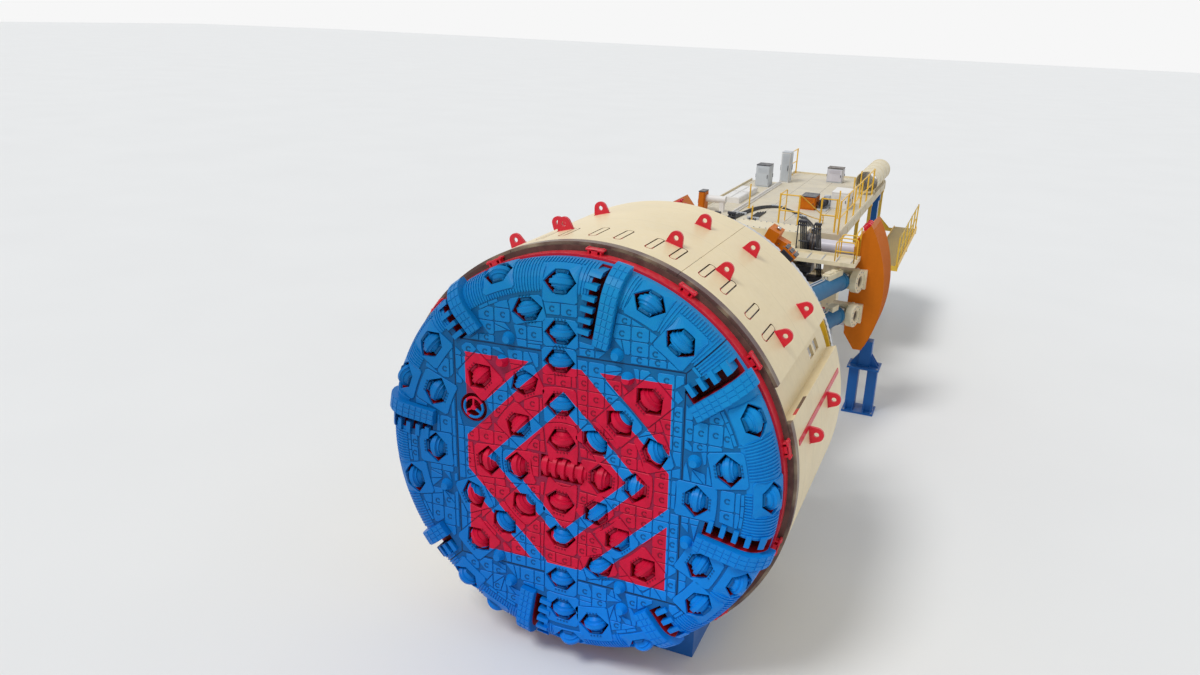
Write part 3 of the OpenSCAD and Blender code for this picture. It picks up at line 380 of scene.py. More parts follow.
def rubber(name, colour=(0.018, 0.018, 0.02), cross=0.0):
    """Black rubber, dusty in patches; cross adds the ribs of a wound hose or belt."""
    finish = Finish(name)
    dust = finish.noise(3.0, 5.0)
    height = finish.noise(30.0, 3.0)
    if cross:
        height = finish.place()[1].repeat(cross) / cross + 0.2 * height
    tone = finish.blend(dust.ramp(0.5, 0.75) * 0.5, rgb(*colour), rgb(0.10, 0.095, 0.09))
    return finish.set(Base_Color=tone, Roughness=0.55 + 0.2 * dust, Normal=finish.bump(height, 0.004, 0.5))


PLATE_WIDE, PLATE_LONG = 1.04, 2.44


def plated(name, colour, pitch=0.16):
    """Painted tread plate: raised lozenges on what faces up, dark joints between plates, scuffs."""
    finish = Finish(name)
    x, y = finish.place()[:2]
    up = finish.upward().ramp(0.6, 0.9)
    lozenge = ((x + y).repeat(pitch) / pitch * 4 + (x - y).repeat(pitch) / pitch * 4).ramp(1.1, 1.5)
    scuff = finish.noise(1.1, 5.0).ramp(0.45, 0.7) * up
    tone = weathered(finish, rgb(*colour), 0.35, 0.3)
    tone = finish.blend(scuff * 0.45, tone, rgb(0.42, 0.38, 0.33))
    tone = finish.blend(lozenge * up * 0.12, tone, rgb(0.9, 0.88, 0.82))
    seams = (x.repeat(PLATE_WIDE) < 0.009).most(y.repeat(PLATE_LONG) < 0.009)
    tone = finish.blend(seams * up * 0.7, tone, rgb(0.16, 0.13, 0.09))
    return finish.set(Base_Color=tone, Roughness=0.5 + 0.2 * finish.noise(5.0),
                      Normal=finish.bump(lozenge * up, 0.006, 0.6))


def grated(name, colour):
    """Open grating seen from above: a mesh of bright bars over gaps painted dark as the shade seen through
    them, painted frame at the sides.
    """
    finish = Finish(name)
    x, y = finish.place()[:2]
    up = abs(finish.upward()).ramp(0.6, 0.9)
    bars = (x.repeat(0.05) < 0.006).most(y.repeat(0.12) < 0.008)
    tone = weathered(finish, rgb(*colour), 0.2, 0.3)
    # Painted shade: the gaps between the bars dark, for the shade under the open grating
    mesh = finish.blend(bars, rgb(0.12, 0.10, 0.07), rgb(*colour))
    return finish.set(Base_Color=finish.blend(up, tone, mesh), Roughness=0.5 + 0.15 * finish.noise(8.0),
                      Normal=finish.bump(bars * up, 0.01, 0.5))


def plain_stage(name, colour):
    """The floor and backdrop: one pale colour, shadows kept, white enough for the camera."""
    finish = Finish(name)
    tone = finish.blend(finish.noise(0.15, 2.0).ramp(0.3, 0.7), rgb(*colour), darker(colour, 0.98))
    return finish.set(Base_Color=tone, Roughness=0.8)


PAINT = {
    "shield": shield_paint("shield_cream"),
    "head": head_paint("head_blue_red"),
    "plates": head_paint("wear_plate_paint", deep=False, seams=False),
    # The head paint darkened towards near-black: painted shade on the plug welds, the cutters' clamps and the
    # bolts beside them
    "weld": head_paint("head_paint_darkened_shade", deep=False, seams=False, shade=0.45),
    "primer": primer("primer_brown"),
    "red": sprayed("red_enamel", (0.66, 0.010, 0.030), 0.34, 0.08, 0.25, 0.2),
    "beam": sprayed("beam_cream", (0.78, 0.68, 0.47), 0.42, 0.22, 0.45),
    "yellow": sprayed("safety_yellow", (0.85, 0.50, 0.03), 0.38, 0.15, 0.3),
    "orange": sprayed("shoe_orange", (0.60, 0.15, 0.003), 0.48, 0.04, 0.3, 0.0, 0.2),
    "teal": sprayed("cylinder_teal", (0.002, 0.13, 0.28), 0.40, 0.06, 0.25, 0.05),
    "blue": sprayed("stand_blue", (0.005, 0.11, 0.40), 0.38, 0.08, 0.25, 0.05),
    "grey": sprayed("cabinet_grey", (0.55, 0.58, 0.61), 0.45, 0.2, 0.3),
    "dark": sprayed("dark_grey", (0.030, 0.032, 0.045), 0.4, 0.25, 0.2),
    "white": sprayed("cabinet_white", (0.82, 0.80, 0.77), 0.42, 0.15, 0.3),
    "barrel": sprayed("barrel_brown", (0.075, 0.055, 0.045), 0.42, 0.25, 0.3),
    "rod": sprayed("rod_sleeve", (0.66, 0.64, 0.70), 0.30, 0.05, 0.2, 0.2),
    "steel": steel("chrome_rod"),
    "bolt": steel("bolt_steel", (0.45, 0.46, 0.48), 0.32),
    "belt": rubber("belt_rubber", cross=0.35),
    "hose": rubber("hose_rubber"),
    "deck": plated("deck_plate", (0.67, 0.585, 0.415)),
    "grating": grated("walkway_grating", (0.80, 0.52, 0.06)),
}

# The nodes in each paint
PAINTED = {
    "blue": "cradle gripper_stand_r gripper_stand_l rear_stand drive_motors",
    "shield": "shield_body shield_roof shield_side_r shield_side_l",
    "primer": "front_lip",
    "red": "seal_ring lower_lugs roof_lugs side_lugs_r side_lugs_l head_hub conveyor_drum",
    "head": "head_center head_segments",
    "plates": "head_cutters head_buckets head_fittings centre_cutters",
    "beam": "cutterhead_support beam_front thrust_ears beam_rear erector_frame gripper_carriage "
            "thrust_sockets_r thrust_sockets_l rear_support vent_duct",
    "yellow": "erector_ring drill_frame deck_rails",
    "orange": "erector_grips drill_mast_r drill_mast_l gripper_shoe_r gripper_shoe_l deck_tanks",
    "barrel": "gripper_barrels",
    "rod": "gripper_rods_r gripper_rods_l",
    "steel": "thrust_balls_r thrust_balls_l thrust_rods_r thrust_rods_l rear_leg_r rear_leg_l",
    "teal": "thrust_barrels_r thrust_barrels_l",
    "grey": "conveyor_frame deck_boxes",
    "belt": "conveyor_belt",
    "deck": "rear_deck",
    "white": "deck_cabinets",
    "grating": "walkway_r walkway_l",
}


def paint_nodes():
    """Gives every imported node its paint."""
    for paint, names in PAINTED.items():
        for name in names.split():
            materials = NODES[name].data.materials
            materials.clear()
            materials.append(PAINT[paint].material)


# making meshes


def piece(name, parts, paint, body, smooth=False):
    """One object from a list of (points, faces); faces are lists of corner numbers of one part."""
    points, faces, start = [], [], 0
    for p, f in parts:
        p = np.asarray(p, float).reshape(-1, 3)
        points.append(p)
        faces.extend((np.asarray(q) + start).tolist() for q in f)
        start += len(p)
    mesh = bpy.data.meshes.new(name)
    mesh.from_pydata(np.concatenate(points).tolist(), [], faces)
    mesh.validate()
    if smooth:
        mesh.polygons.foreach_set("use_smooth", [True] * len(mesh.polygons))
    mesh.materials.append(PAINT[paint].material)
    made = bpy.data.objects.new(name, mesh)
    bpy.context.scene.collection.objects.link(made)
    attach(made, body)


def grid_faces(rows, columns, wrap_rows=False, wrap_columns=False):
    """Four-sided faces of a grid of points, numbered row by row."""
    here, there = np.arange(rows - (not wrap_rows)), np.arange(columns - (not wrap_columns))
    i, j = np.meshgrid(here, there, indexing="ij")
    up, along_row = (i + 1) % rows, (j + 1) % columns
    corners = [i * columns + j, i * columns + along_row, up * columns + along_row, up * columns + j]
    return np.stack(corners, -1).reshape(-1, 4).tolist()


def capped_faces(rings, sides, inward=False):
    """Faces of rings laid over each other, closed by a flat face at both ends. Inward turns them round."""
    faces = grid_faces(rings, sides, wrap_columns=True)
    faces += [list(range(sides))[::-1], list(range((rings - 1) * sides, rings * sides))]
    return [f[::-1] for f in faces] if inward else faces


def ring_faces(rows, sides):
    """Faces of a section of that many rows carried right round and closed on itself."""
    return grid_faces(rows, sides, wrap_rows=True, wrap_columns=True)


def bar_faces(steps):
    """Faces of a four-sided bar, numbered edge by edge, with its two ends."""
    ends = [[0, steps, 2 * steps, 3 * steps], [4 * steps - 1, 3 * steps - 1, 2 * steps - 1, steps - 1]]
    return grid_faces(4, steps, wrap_rows=True) + ends


def full_turn(count):
    """Evenly spaced angles of one turn, without the last one."""
    return np.linspace(0, 2 * math.pi, count, endpoint=False)


def round_z(profile, sides):
    """The (radius, height) points of a profile, each carried round Z."""
    profile, a = np.asarray(profile, float), full_turn(sides)[None, :]
    r, h = profile[:, :1], profile[:, 1:]
    return np.stack([r * np.cos(a), r * np.sin(a), h + 0 * a], -1).reshape(-1, 3)


def turned(profile, sides):
    """A closed turned shape: the profile carried round Z, capped at both ends."""
    return round_z(profile, sides), capped_faces(len(profile), sides)


def disc(radius, low, high, step=0.01, cut=0.01, sides=40):
    """A turned disc or sleeve with both rims chamfered: step inwards over the height cut."""
    profile = [(radius - step, low), (radius, low + cut), (radius, high - cut), (radius - step, high)]
    return turned(profile, sides)


def washer(inner, outer, low, high, bevel=0.008, sides=48):
    """A closed flat ring round Z, its rim and its bore chamfered at the top."""
    profile = [(inner, low), (outer, low), (outer, high - bevel), (outer - bevel, high),
               (inner + bevel, high), (inner, high - bevel)]
    return round_z(profile, sides), ring_faces(6, sides)


def prism(outline, low, high, bevel=0.0):
    """A flat plate: the outline (X, Y) from low to high in Z, its top edge drawn in by bevel."""
    outline = np.asarray(outline, float)
    n = len(outline)
    rings = [np.c_[outline, np.full(n, low)], np.c_[outline, np.full(n, high - bevel)]]
    if bevel:
        rings.append(np.c_[inset(outline, bevel), np.full(n, high)])
    return np.concatenate(rings), capped_faces(len(rings), n)


def rectangle(x1, y1, x2, y2):
    """The four corners of a rectangle, anticlockwise."""
    return np.array([[x1, y1], [x2, y1], [x2, y2], [x1, y2]])


def cut_rectangle(x1, y1, x2, y2, cut):
    """A rectangle with its four corners cut off, as eight points."""
    return np.array([[x1 + cut, y1], [x2 - cut, y1], [x2, y1 + cut], [x2, y2 - cut], [x2 - cut, y2],
                     [x1 + cut, y2], [x1, y2 - cut], [x1, y1 + cut]])


def block(low, high, bevel=0.008):
    """A box between two corners with all of its edges cut."""
    (x1, y1, z1), (x2, y2, z2) = low, high
    outline = cut_rectangle(x1, y1, x2, y2, bevel)
    drawn = inset(outline, bevel)
    rings = [(drawn, z1), (outline, z1 + bevel), (outline, z2 - bevel), (drawn, z2)]
    return np.concatenate([np.c_[o, np.full(8, h)] for o, h in rings]), capped_faces(4, 8)


def box_at(x, y, z, half_x, half_y, height, bevel=0.008):
    """A cut-edged box by the middle of its foot, its half widths and its height."""
    return block((x - half_x, y - half_y, z), (x + half_x, y + half_y, z + height), bevel)


def inset(outline, gap):
    """A convex outline drawn in by gap: each corner moves to where its two shifted sides cross."""
    ahead = np.roll(outline, -1, 0) - outline
    ahead /= np.maximum(np.linalg.norm(ahead, axis=1), 1e-9)[:, None]
    behind = np.roll(ahead, 1, 0)
    square = np.c_[-ahead[:, 1], ahead[:, 0]]
    inward = square + np.c_[-behind[:, 1], behind[:, 0]]
    return outline + gap * inward / np.maximum((inward * square).sum(1), 0.3)[:, None]


def keep_side(outline, normal, offset):
    """The part of a convex outline on the side normal . p <= offset."""
    d = outline @ np.asarray(normal, float) - offset
    after, d_after = np.roll(outline, -1, 0), np.roll(d, -1)
    crosses = (d > 0) != (d_after > 0)
    share = (d / np.where(crosses, d - d_after, 1.0))[:, None]
    both = np.stack([outline, outline + share * (after - outline)], 1).reshape(-1, 2)
    return both[np.stack([d <= 0, crosses], 1).ravel()]


def tidy(outline, gap=0.008):
    """An outline without corners that lie on top of each other."""
    if len(outline) < 3:
        return outline
    return outline[np.linalg.norm(np.roll(outline, -1, 0) - outline, axis=1) > gap]


def area(outline):
    """An outline's area: half the sum of the cross products of neighbouring corners."""
    x, y = outline[:, 0], outline[:, 1]
    return 0.5 * float((x * np.roll(y, -1) - y * np.roll(x, -1)).sum())


def without(outlines, hole):
    """Convex outlines minus a convex hole, as convex outlines: what is outside each of its sides in turn."""
    sides = np.roll(hole, -1, 0) - hole
    normals = np.c_[sides[:, 1], -sides[:, 0]] / np.linalg.norm(sides, axis=1)[:, None]
    offsets = (normals * hole).sum(1)
    left = []
    for outline in outlines:
        if (((outline @ normals.T) - offsets).min(0) >= 0).any():
            left.append(outline)
            continue
        rest = outline
        for normal, offset in zip(normals, offsets):
            outer = keep_side(rest, -normal, -offset)
            if len(outer) > 2:
                left.append(outer)
            rest = keep_side(rest, normal, offset)
            if len(rest) < 3:
                break
    return left


def moved(part, turn, shift):
    """The part turned by a matrix, then shifted."""
    return np.asarray(part[0]) @ np.asarray(turn, float).T + np.asarray(shift, float), part[1]


def tube(path, radius, sides=10):
    """A round tube along a path: at each point a ring square to the path, turned as little as it can be."""
    path = np.asarray(path, float)
    ahead = np.gradient(path, axis=0)
    ahead /= np.linalg.norm(ahead, axis=1)[:, None]
    seed = np.array([0, 0, 1.0]) if abs(ahead[0, 2]) < 0.9 else np.array([1.0, 0, 0])
    side = np.empty_like(path)
    side[0] = np.cross(ahead[0], seed)
    for k in range(1, len(path)):
        side[k] = side[k - 1] - ahead[k] * (side[k - 1] @ ahead[k])
    side /= np.linalg.norm(side, axis=1)[:, None]
    other = np.cross(ahead, side)
    a = full_turn(sides)[None, :, None]
    points = path[:, None] + radius * (np.cos(a) * side[:, None] + np.sin(a) * other[:, None])
    return points.reshape(-1, 3), capped_faces(len(path), sides)


def smooth_path(corners, count=24):
    """A curve through the corners: a Catmull-Rom spline, sampled evenly between them."""
    c = np.asarray(corners, float)
    c = np.concatenate([2 * c[:1] - c[1:2], c, 2 * c[-1:] - c[-2:-1]])
    spans = len(c) - 3
    s = np.linspace(0, spans, count)
    k = np.minimum(s.astype(int), spans - 1)
    t = (s - k)[:, None]
    p0, p1, p2, p3 = c[k], c[k + 1], c[k + 2], c[k + 3]
    square, cube = 2 * p0 - 5 * p1 + 4 * p2 - p3, 3 * p1 - p0 - 3 * p2 + p3
    return 0.5 * (2 * p1 + (p2 - p0) * t + square * t ** 2 + cube * t ** 3)


def rounded(corners, reach=0.12, steps=5):
    """A path through the corners, each inner one replaced by a parabola that starts reach before it."""
    c = np.asarray(corners, float)
    t = np.linspace(0, 1, steps)[:, None]
    path = [c[:1]]
    for before, here, after in zip(c[:-2], c[1:-1], c[2:]):
        a = here + (before - here) / np.linalg.norm(before - here) * reach
        b = here + (after - here) / np.linalg.norm(after - here) * reach
        path.append((1 - t) ** 2 * a + 2 * t * (1 - t) * here + t ** 2 * b)
    return np.concatenate(path + [c[-1:]])


def pipe(corners, radius=0.02, reach=0.12, sides=8):
    """A tube through the corners, its bends rounded."""
    return tube(rounded(corners, reach), radius, sides)


def handrail(corners, radius=0.019, reach=0.10):
    """A round bar through the corners, its bends rounded."""
    return tube(rounded(corners, reach, 6), radius, 10)


def turn_to(direction):
    """The turn that takes Z to direction."""
    z = np.asarray(direction, float) / np.linalg.norm(direction)
    x = np.cross([0, 0, 1.0] if abs(z[2]) < 0.9 else [1.0, 0, 0], z)
    x /= np.linalg.norm(x)
    return np.stack([x, np.cross(z, x), z], 1)


def along(part, start, direction):
    """The part's Z turned to direction, its origin put on start."""
    return moved(part, turn_to(direction), start)


def bolts_at(places, direction, radius, height):
    """A hexagon head with a chamfered top on each place, standing out along direction."""
    head = turned([(radius, 0), (radius, height * 0.75), (radius * 0.82, height)], 6)
    return [along(head, place, direction) for place in places]


def bolt_circle(centre, direction, circle, count, radius, height):
    """Bolt heads on a circle round centre, square to direction."""
    x, y = turn_to(direction).T[:2]
    a = full_turn(count)[:, None]
    places = np.asarray(centre, float) + circle * (np.cos(a) * x + np.sin(a) * y)
    return bolts_at(places, direction, radius, height)


def bolt_frame(half, y, direction, pitch, radius):
    """Bolt heads along the four sides of a square that stands across the machine."""
    steps = round(2 * half / pitch)
    across = np.linspace(-half, half, steps + 1)
    places = [(x, y, z) for x in across for z in (-half, half)]
    places += [(x, y, z) for z in across[1:-1] for x in (-half, half)]
    return bolts_at(places, direction, radius, radius * 0.8)


def mirrored(part):
    """The part reflected to the other side, its faces turned round to look outwards again."""
    return np.asarray(part[0]) * [-1, 1, 1], [list(f)[::-1] for f in part[1]]


def both(parts):
    """The parts and their mirror images."""
    return list(parts) + [mirrored(p) for p in parts]


def around(part, angle):
    """Turned about the machine's axis: local X goes outwards at that angle (degrees)."""
    c, s = math.cos(math.radians(angle)), math.sin(math.radians(angle))
    return moved(part, [[c, 0, -s], [0, 1, 0], [s, 0, c]], (0, 0, 0))


def spun(part, quarter, shift):
    """Turned about Z by quarters of a turn, then shifted."""
    c, s = ((1, 0), (0, 1), (-1, 0), (0, -1))[quarter]
    return moved(part, [[c, -s, 0], [s, c, 0], [0, 0, 1]], shift)


def upright(part, shift):
    """A flat plate stood up: its Y goes up, its thickness along the machine."""
    p = np.asarray(part[0])
    return np.c_[p[:, 0], -p[:, 2], p[:, 1]] + np.asarray(shift, float), part[1]


def dress(name, parts, paint, body="body", smooth=False):
    """A piece whose parts are measured from ORIGIN."""
    piece(name, [moved(p, np.eye(3), ORIGIN) for p in parts], paint, body, smooth)


def dress_pair(name, parts, paint, body, smooth=False):
    """The same piece for the right body and, mirrored, for the left one."""
    dress(name + "_" + body + "_r", parts, paint, body + "_r", smooth)
    dress(name + "_" + body + "_l", [mirrored(p) for p in parts], paint, body + "_l", smooth)


X_OUT, X_IN, BACKWARDS, FORWARDS, UPWARDS = (1, 0, 0), (-1, 0, 0), (0, 1, 0), (0, -1, 0), (0, 0, 1)


# the cutting head

# Radius (mm) and angle (degrees) of each disc cutter
CUTTERS = np.array([
    [610, 96], [700, 265], [760, 359], [990, 189], [940, 49], [1200, 143], [1250, 229], [1010, 313],
    [1310, 95],
    [1430, 269], [1430, 359], [1610, 186], [1600, 48], [1810, 118], [1900, 229], [1640, 314], [1910, 23],
    [2170, 207], [2020, 293], [2150, 94], [2360, 270], [2370, 139], [2350, 47], [2690, 227], [2360, 315],
    [2690, 93], [2580, 0], [2790, 183], [3040, 271], [2950, 159], [3020, 335], [3130, 105], [3250, 283],
    [3190, 13], [3440, 196], [3490, 145], [3470, 323], [3550, 54], [3620, 93], [3710, 273], [3660, 234],
    [3860, 113], [3760, 67], [3730, 161], [3880, 246], [3820, 26], [3880, 4], [3790, 336], [3810, 297],
]) / [1000, 1]
# Angle (degrees) and inner radius (mm) of each bucket
BUCKETS = np.array([
    [81.8, 2690], [39.7, 2990], [-10.4, 2780], [-51.4, 3100], [-98, 2880], [-138.7, 3250], [175.4, 2870],
    [132.3, 3110],
]) / [1, 1000]
# X and Z (mm) of each spray nozzle
NOZZLES = np.array([
    [-1180, 2410], [950, 2460], [-1310, 1940], [1170, 2060], [-2550, -910], [2450, -860], [-1090, -2700],
    [1280, -2640], [2490, 760], [-1370, -2210], [1220, -2180],
]) / 1000
HATCH, HATCH_R, NOZZLE_CLEAR = np.array([-1.93, 0.88]), 0.29, 0.15
# Half sizes of a cutter's six-sided opening, and how far its shaft lies below the face
POCKET_LONG, POCKET_WIDE, POCKET_SIDE = 0.32, 0.215, 0.13
CUTTER_SINK = 0.241 - 0.130
# Half sizes of a collar, the width of its cut corners, and its thickness
COLLAR_OUT, COLLAR_SIDE, COLLAR_CUT, COLLAR_T = 0.375, 0.345, 0.05, 0.024
# Half width of a bucket's slot, width of the bar beside it, and height of the bar's top
SLOT_HALF, BAR_W, BAR_TOP = 0.135, 0.30, 0.12
# Half size of the opening for the middle row of cutters
CENTRE_ROW = (0.52, 0.27)
PLATE_LOW, PLATE_HIGH, PLATE_BEVEL, PLATE_GAP, PLATE_CUT = -0.004, 0.018, 0.006, 0.009, 0.03


def turned_frame(angle):
    """Directions outwards and round at an angle (degrees), as the columns of a flat turn."""
    a = math.radians(angle)
    return np.array([[math.cos(a), -math.sin(a)], [math.sin(a), math.cos(a)]])


def on_head(r, angle):
    """Turn and shift from a local frame on the head's surface: X away from the axis, Y back, Z round."""
    lean = math.asin(min(max(r - FLAT_R, 0.0) / GAUGE_R, 0.98))
    c, s = math.cos(lean), math.sin(lean)
    (rx, tx), (rz, tz) = turned_frame(angle)
    radial, around_axis, axial = np.array([rx, 0, rz]), np.array([tx, 0, tz]), np.array([0, 1.0, 0])
    shift = ORIGIN + r * radial + axial * (-FACE_REACH + GAUGE_R * (1 - c))
    return np.stack([c * radial + s * axial, -s * radial + c * axial, around_axis], 1), shift


def head_arc(r):
    """Arc length on the face from the axis out to the radius r, round the head's edge."""
    return r if r <= FLAT_R else FLAT_R + GAUGE_R * math.asin(min((r - FLAT_R) / GAUGE_R, 0.98))


def face_place(r, angle):
    """A cutter's place on the head's skin rolled out flat."""
    return head_arc(r) * turned_frame(angle)[:, 0]


def collar_reaches():
    """Half sizes of each cutter's collar, outwards and round: less outwards where the next cutter is near."""
    centres = np.array([face_place(r, a) for r, a in CUTTERS])
    reaches = []
    for centre, (r, angle) in zip(centres, CUTTERS):
        out, side = abs((centres - centre) @ turned_frame(angle)).T
        near = (out > 0.3) & (side < 0.60)
        room = out[near].min() / 2 - 0.008 if near.any() else COLLAR_OUT
        reaches.append((min(COLLAR_OUT, room), COLLAR_SIDE))
    return reaches


REACHES = collar_reaches()


def face_holes():
    """Outlines on the face, in X and Z, where no wear plate may lie."""
    holes = []
    for (r, angle), (out, side) in zip(CUTTERS, REACHES):
        out, side = out + 0.010, side + 0.010
        holes.append(face_place(r, angle) + rectangle(-out, -side, out, side) @ turned_frame(angle).T)
    for angle, inner in BUCKETS:
        low, high = -SLOT_HALF - BAR_W - 0.015, SLOT_HALF + 0.11
        holes.append(rectangle(inner - 0.09, low, SHIELD_R + 0.15, high) @ turned_frame(angle).T)
    x, z = CENTRE_ROW
    holes.append(rectangle(-x, -z, x, z))
    a = full_turn(12)
    circle = np.c_[np.cos(a), np.sin(a)]
    holes += [p + NOZZLE_CLEAR * circle for p in NOZZLES]
    holes.append(HATCH + (HATCH_R + 0.05) * circle)
    return holes


def plate_rows(half, pitch_x, pitch_z):
    """Rectangles with cut corners in rows, as on a wall of pavers without the half lap."""
    w, h = pitch_x / 2, pitch_z / 2
    one = cut_rectangle(-w, -h, w, h, PLATE_CUT)
    columns, rows = np.arange(-half + w, half, pitch_x), np.arange(-half + h, half, pitch_z)
    return [one + [x, z] for x in columns for z in rows]


def outer_sides(outline):
    """Lengths of an outline's sides, and their directions outwards."""
    sides = np.roll(outline, -1, 0) - outline
    long = np.linalg.norm(sides, axis=1)
    return long, np.c_[sides[:, 1], -sides[:, 0]] / np.maximum(long, 1e-9)[:, None]


def drawn_in(outline, gap):
    """A convex outline cut back by gap along each of its own sides: never turns inside out."""
    long, normals = outer_sides(outline)
    kept = outline
    for normal, corner in zip(normals[long > 0.004], outline[long > 0.004]):
        kept = keep_side(kept, normal, normal @ corner - gap)
        if len(kept) < 3:
            return None
    kept = tidy(kept)
    if len(kept) < 3:
        return None
    size, rim = area(kept), outer_sides(kept)[0].sum()
    return kept if size > 0.010 and 2 * size / rim > 0.034 else None


def face_plates(limits, pitch_x, pitch_z, holes):
    """Wear plates of one block of the head: rows cut back to the block's limits and round the openings."""
    plates = plate_rows(3.75, pitch_x, pitch_z)
    for normal, offset in limits:
        plates = [keep_side(p, normal, offset) for p in plates]
        plates = [p for p in plates if len(p) > 2]
    for hole in holes:
        plates = without(plates, hole)
    plates = [drawn_in(p, PLATE_GAP) for p in map(tidy, plates) if len(p) > 2]
    return [p for p in plates if p is not None]


def to_face(part):
    """From the plan of the face (X, Z, height) to the part's frame, heights standing out forwards."""
    p = np.asarray(part[0])
    return np.c_[p[:, 0], -FACE_REACH - p[:, 2], p[:, 1]] + ORIGIN, [list(f)[::-1] for f in part[1]]


def plug_weld(centre, radius=0.046, thick=0.014):
    """A welded plug on a wear plate: three quarters of a ring, its bead half round."""
    a = np.linspace(0.6, 5.6, 10)[:, None]
    b = np.linspace(0, math.pi, 4)[None, :]
    r = radius + thick * np.cos(b)
    height = PLATE_HIGH - 0.001 + thick * 0.8 * np.sin(b) + 0 * a
    points = np.stack([centre[0] + r * np.cos(a), centre[1] + r * np.sin(a), height], -1)
    return points.reshape(-1, 3), capped_faces(10, 4, inward=True)


def block_limits():
    """Limits (direction, distance) and plate pitches of the head's five blocks: the square in the middle and
    the four round it, which meet on its diagonals."""
    inside, outside, diagonal = BLOCK_HALF - 0.022, -BLOCK_HALF - 0.022, -0.03
    return {
        "middle": ([((1, 0), inside), ((-1, 0), inside), ((0, 1), inside), ((0, -1), inside)], 0.325, 0.285),
        "top": ([((0, -1), outside), ((-1, -1), diagonal), ((1, -1), diagonal)], 0.335, 0.27),
        "bottom": ([((0, 1), outside), ((-1, 1), diagonal), ((1, 1), diagonal)], 0.31, 0.38),
        "right": ([((-1, 0), outside), ((-1, 1), diagonal), ((-1, -1), diagonal)], 0.27, 0.40),
        "left": ([((1, 0), outside), ((1, 1), diagonal), ((1, -1), diagonal)], 0.27, 0.40),
    }


def build_face_plates():
    """Wear plates on the head's flat face, block by block, and a plug weld on each large one."""
    turn = turned_frame(math.degrees(HEAD_TURN))
    holes = [hole @ turn for hole in face_holes()]
    rim = [((math.cos(t), math.sin(t)), FLAT_R - 0.10) for t in full_turn(40)]
    for name, (limits, pitch_x, pitch_z) in block_limits().items():
        plates = face_plates(limits + rim, pitch_x, pitch_z, holes)
        parts = [to_face(prism(p @ turn.T, PLATE_LOW, PLATE_HIGH, PLATE_BEVEL)) for p in plates]
        welds = [to_face(plug_weld(p.mean(0) @ turn.T)) for p in plates if area(p) > 0.034]
        piece("wear_plates_" + name, parts, "plates", "cutterhead")
        # Painted shade: the welds take the darkened head paint
        piece("plug_welds_" + name, welds, "weld", "cutterhead", smooth=True)


def gauge_point(arc, angle, height):
    """A point on the head's skin: arc length from the flat face's end, angle, height over the skin. Negative
    arcs lie on the flat face, those past the rounding on the rim, which runs straight back."""
    arc, angle, height = np.broadcast_arrays(np.asarray(arc, float), angle, height)
    t = np.clip(arc / GAUGE_R, 0, math.pi / 2)
    r = FLAT_R + (GAUGE_R + height) * np.sin(t) + np.minimum(arc, 0)
    y = -FACE_REACH + GAUGE_R - (GAUGE_R + height) * np.cos(t) + np.maximum(arc - GAUGE_R * math.pi / 2, 0)
    return np.stack([r * np.cos(angle), y, r * np.sin(angle)], -1) + ORIGIN


def split_sides(outline, parts=4):
    """The outline with each of its sides divided evenly."""
    t = np.arange(parts)[None, :, None] / parts
    return (outline[:, None] * (1 - t) + np.roll(outline, -1, 0)[:, None] * t).reshape(-1, 2)


def collar(r, angle, reach_out, reach_side):
    """The plate round a cutter's opening, bent to the head's skin: a rectangle outside with cut corners, the
    opening's six corners inside, and a lip down into the opening."""
    w, s, long = POCKET_WIDE + 0.004, POCKET_SIDE, POCKET_LONG + 0.004
    inner = np.array([[w, -s], [w, s], [0, long], [0, long], [-w, s], [-w, -s], [0, -long], [0, -long]])
    outer = cut_rectangle(-reach_out, -reach_side, reach_out, reach_side, COLLAR_CUT)
    inner, outer = split_sides(inner), split_sides(np.roll(outer, -2, 0))
    b, top = 0.008, COLLAR_T
    rings = [(outer, -0.006), (outer, top - b), (outer * (1 - b / reach_out), top), (inner * 1.03, top),
             (inner, top - b), (inner, -0.03)]
    centre = head_arc(r) - FLAT_R
    points = []
    for outline, height in rings:
        arc = centre + outline[:, 0]
        fall = GAUGE_R * np.sin(np.clip(arc / GAUGE_R, 0, math.pi / 2))
        radius = np.maximum(FLAT_R + np.where(arc < 0, arc, fall), 0.3)
        points.append(gauge_point(arc, math.radians(angle) + outline[:, 1] / radius, height))
    return np.concatenate(points), ring_faces(len(rings), len(outer))


def spindle():
    """The cutter as it shows in its opening: two blunt cones on one shaft, meeting in the disc's ridge."""
    half = [(0.235, 0.034), (0.222, 0.042), (0.200, 0.050), (0.130, 0.135), (0.100, 0.150), (0.075, 0.185)]
    profile = [(r, -h) for r, h in half[::-1]] + half
    points, faces = turned(profile, 20)
    return points[:, [2, 0, 1]] + [0, CUTTER_SINK, 0], faces


def saddle():
    """The pair of clamp blocks at the shaft's ends, with sloped shoulders."""
    outline = [[-0.115, -0.16], [0.115, -0.16], [0.115, 0], [0.075, 0.055], [-0.075, 0.055], [-0.115, 0]]
    parts = []
    for side in (-1, 1):
        points, faces = prism(outline, -0.020, 0.020)
        parts.append((np.c_[points[:, 2] + side * 0.188, 0.045 - points[:, 1], points[:, 0]], faces))
    return parts


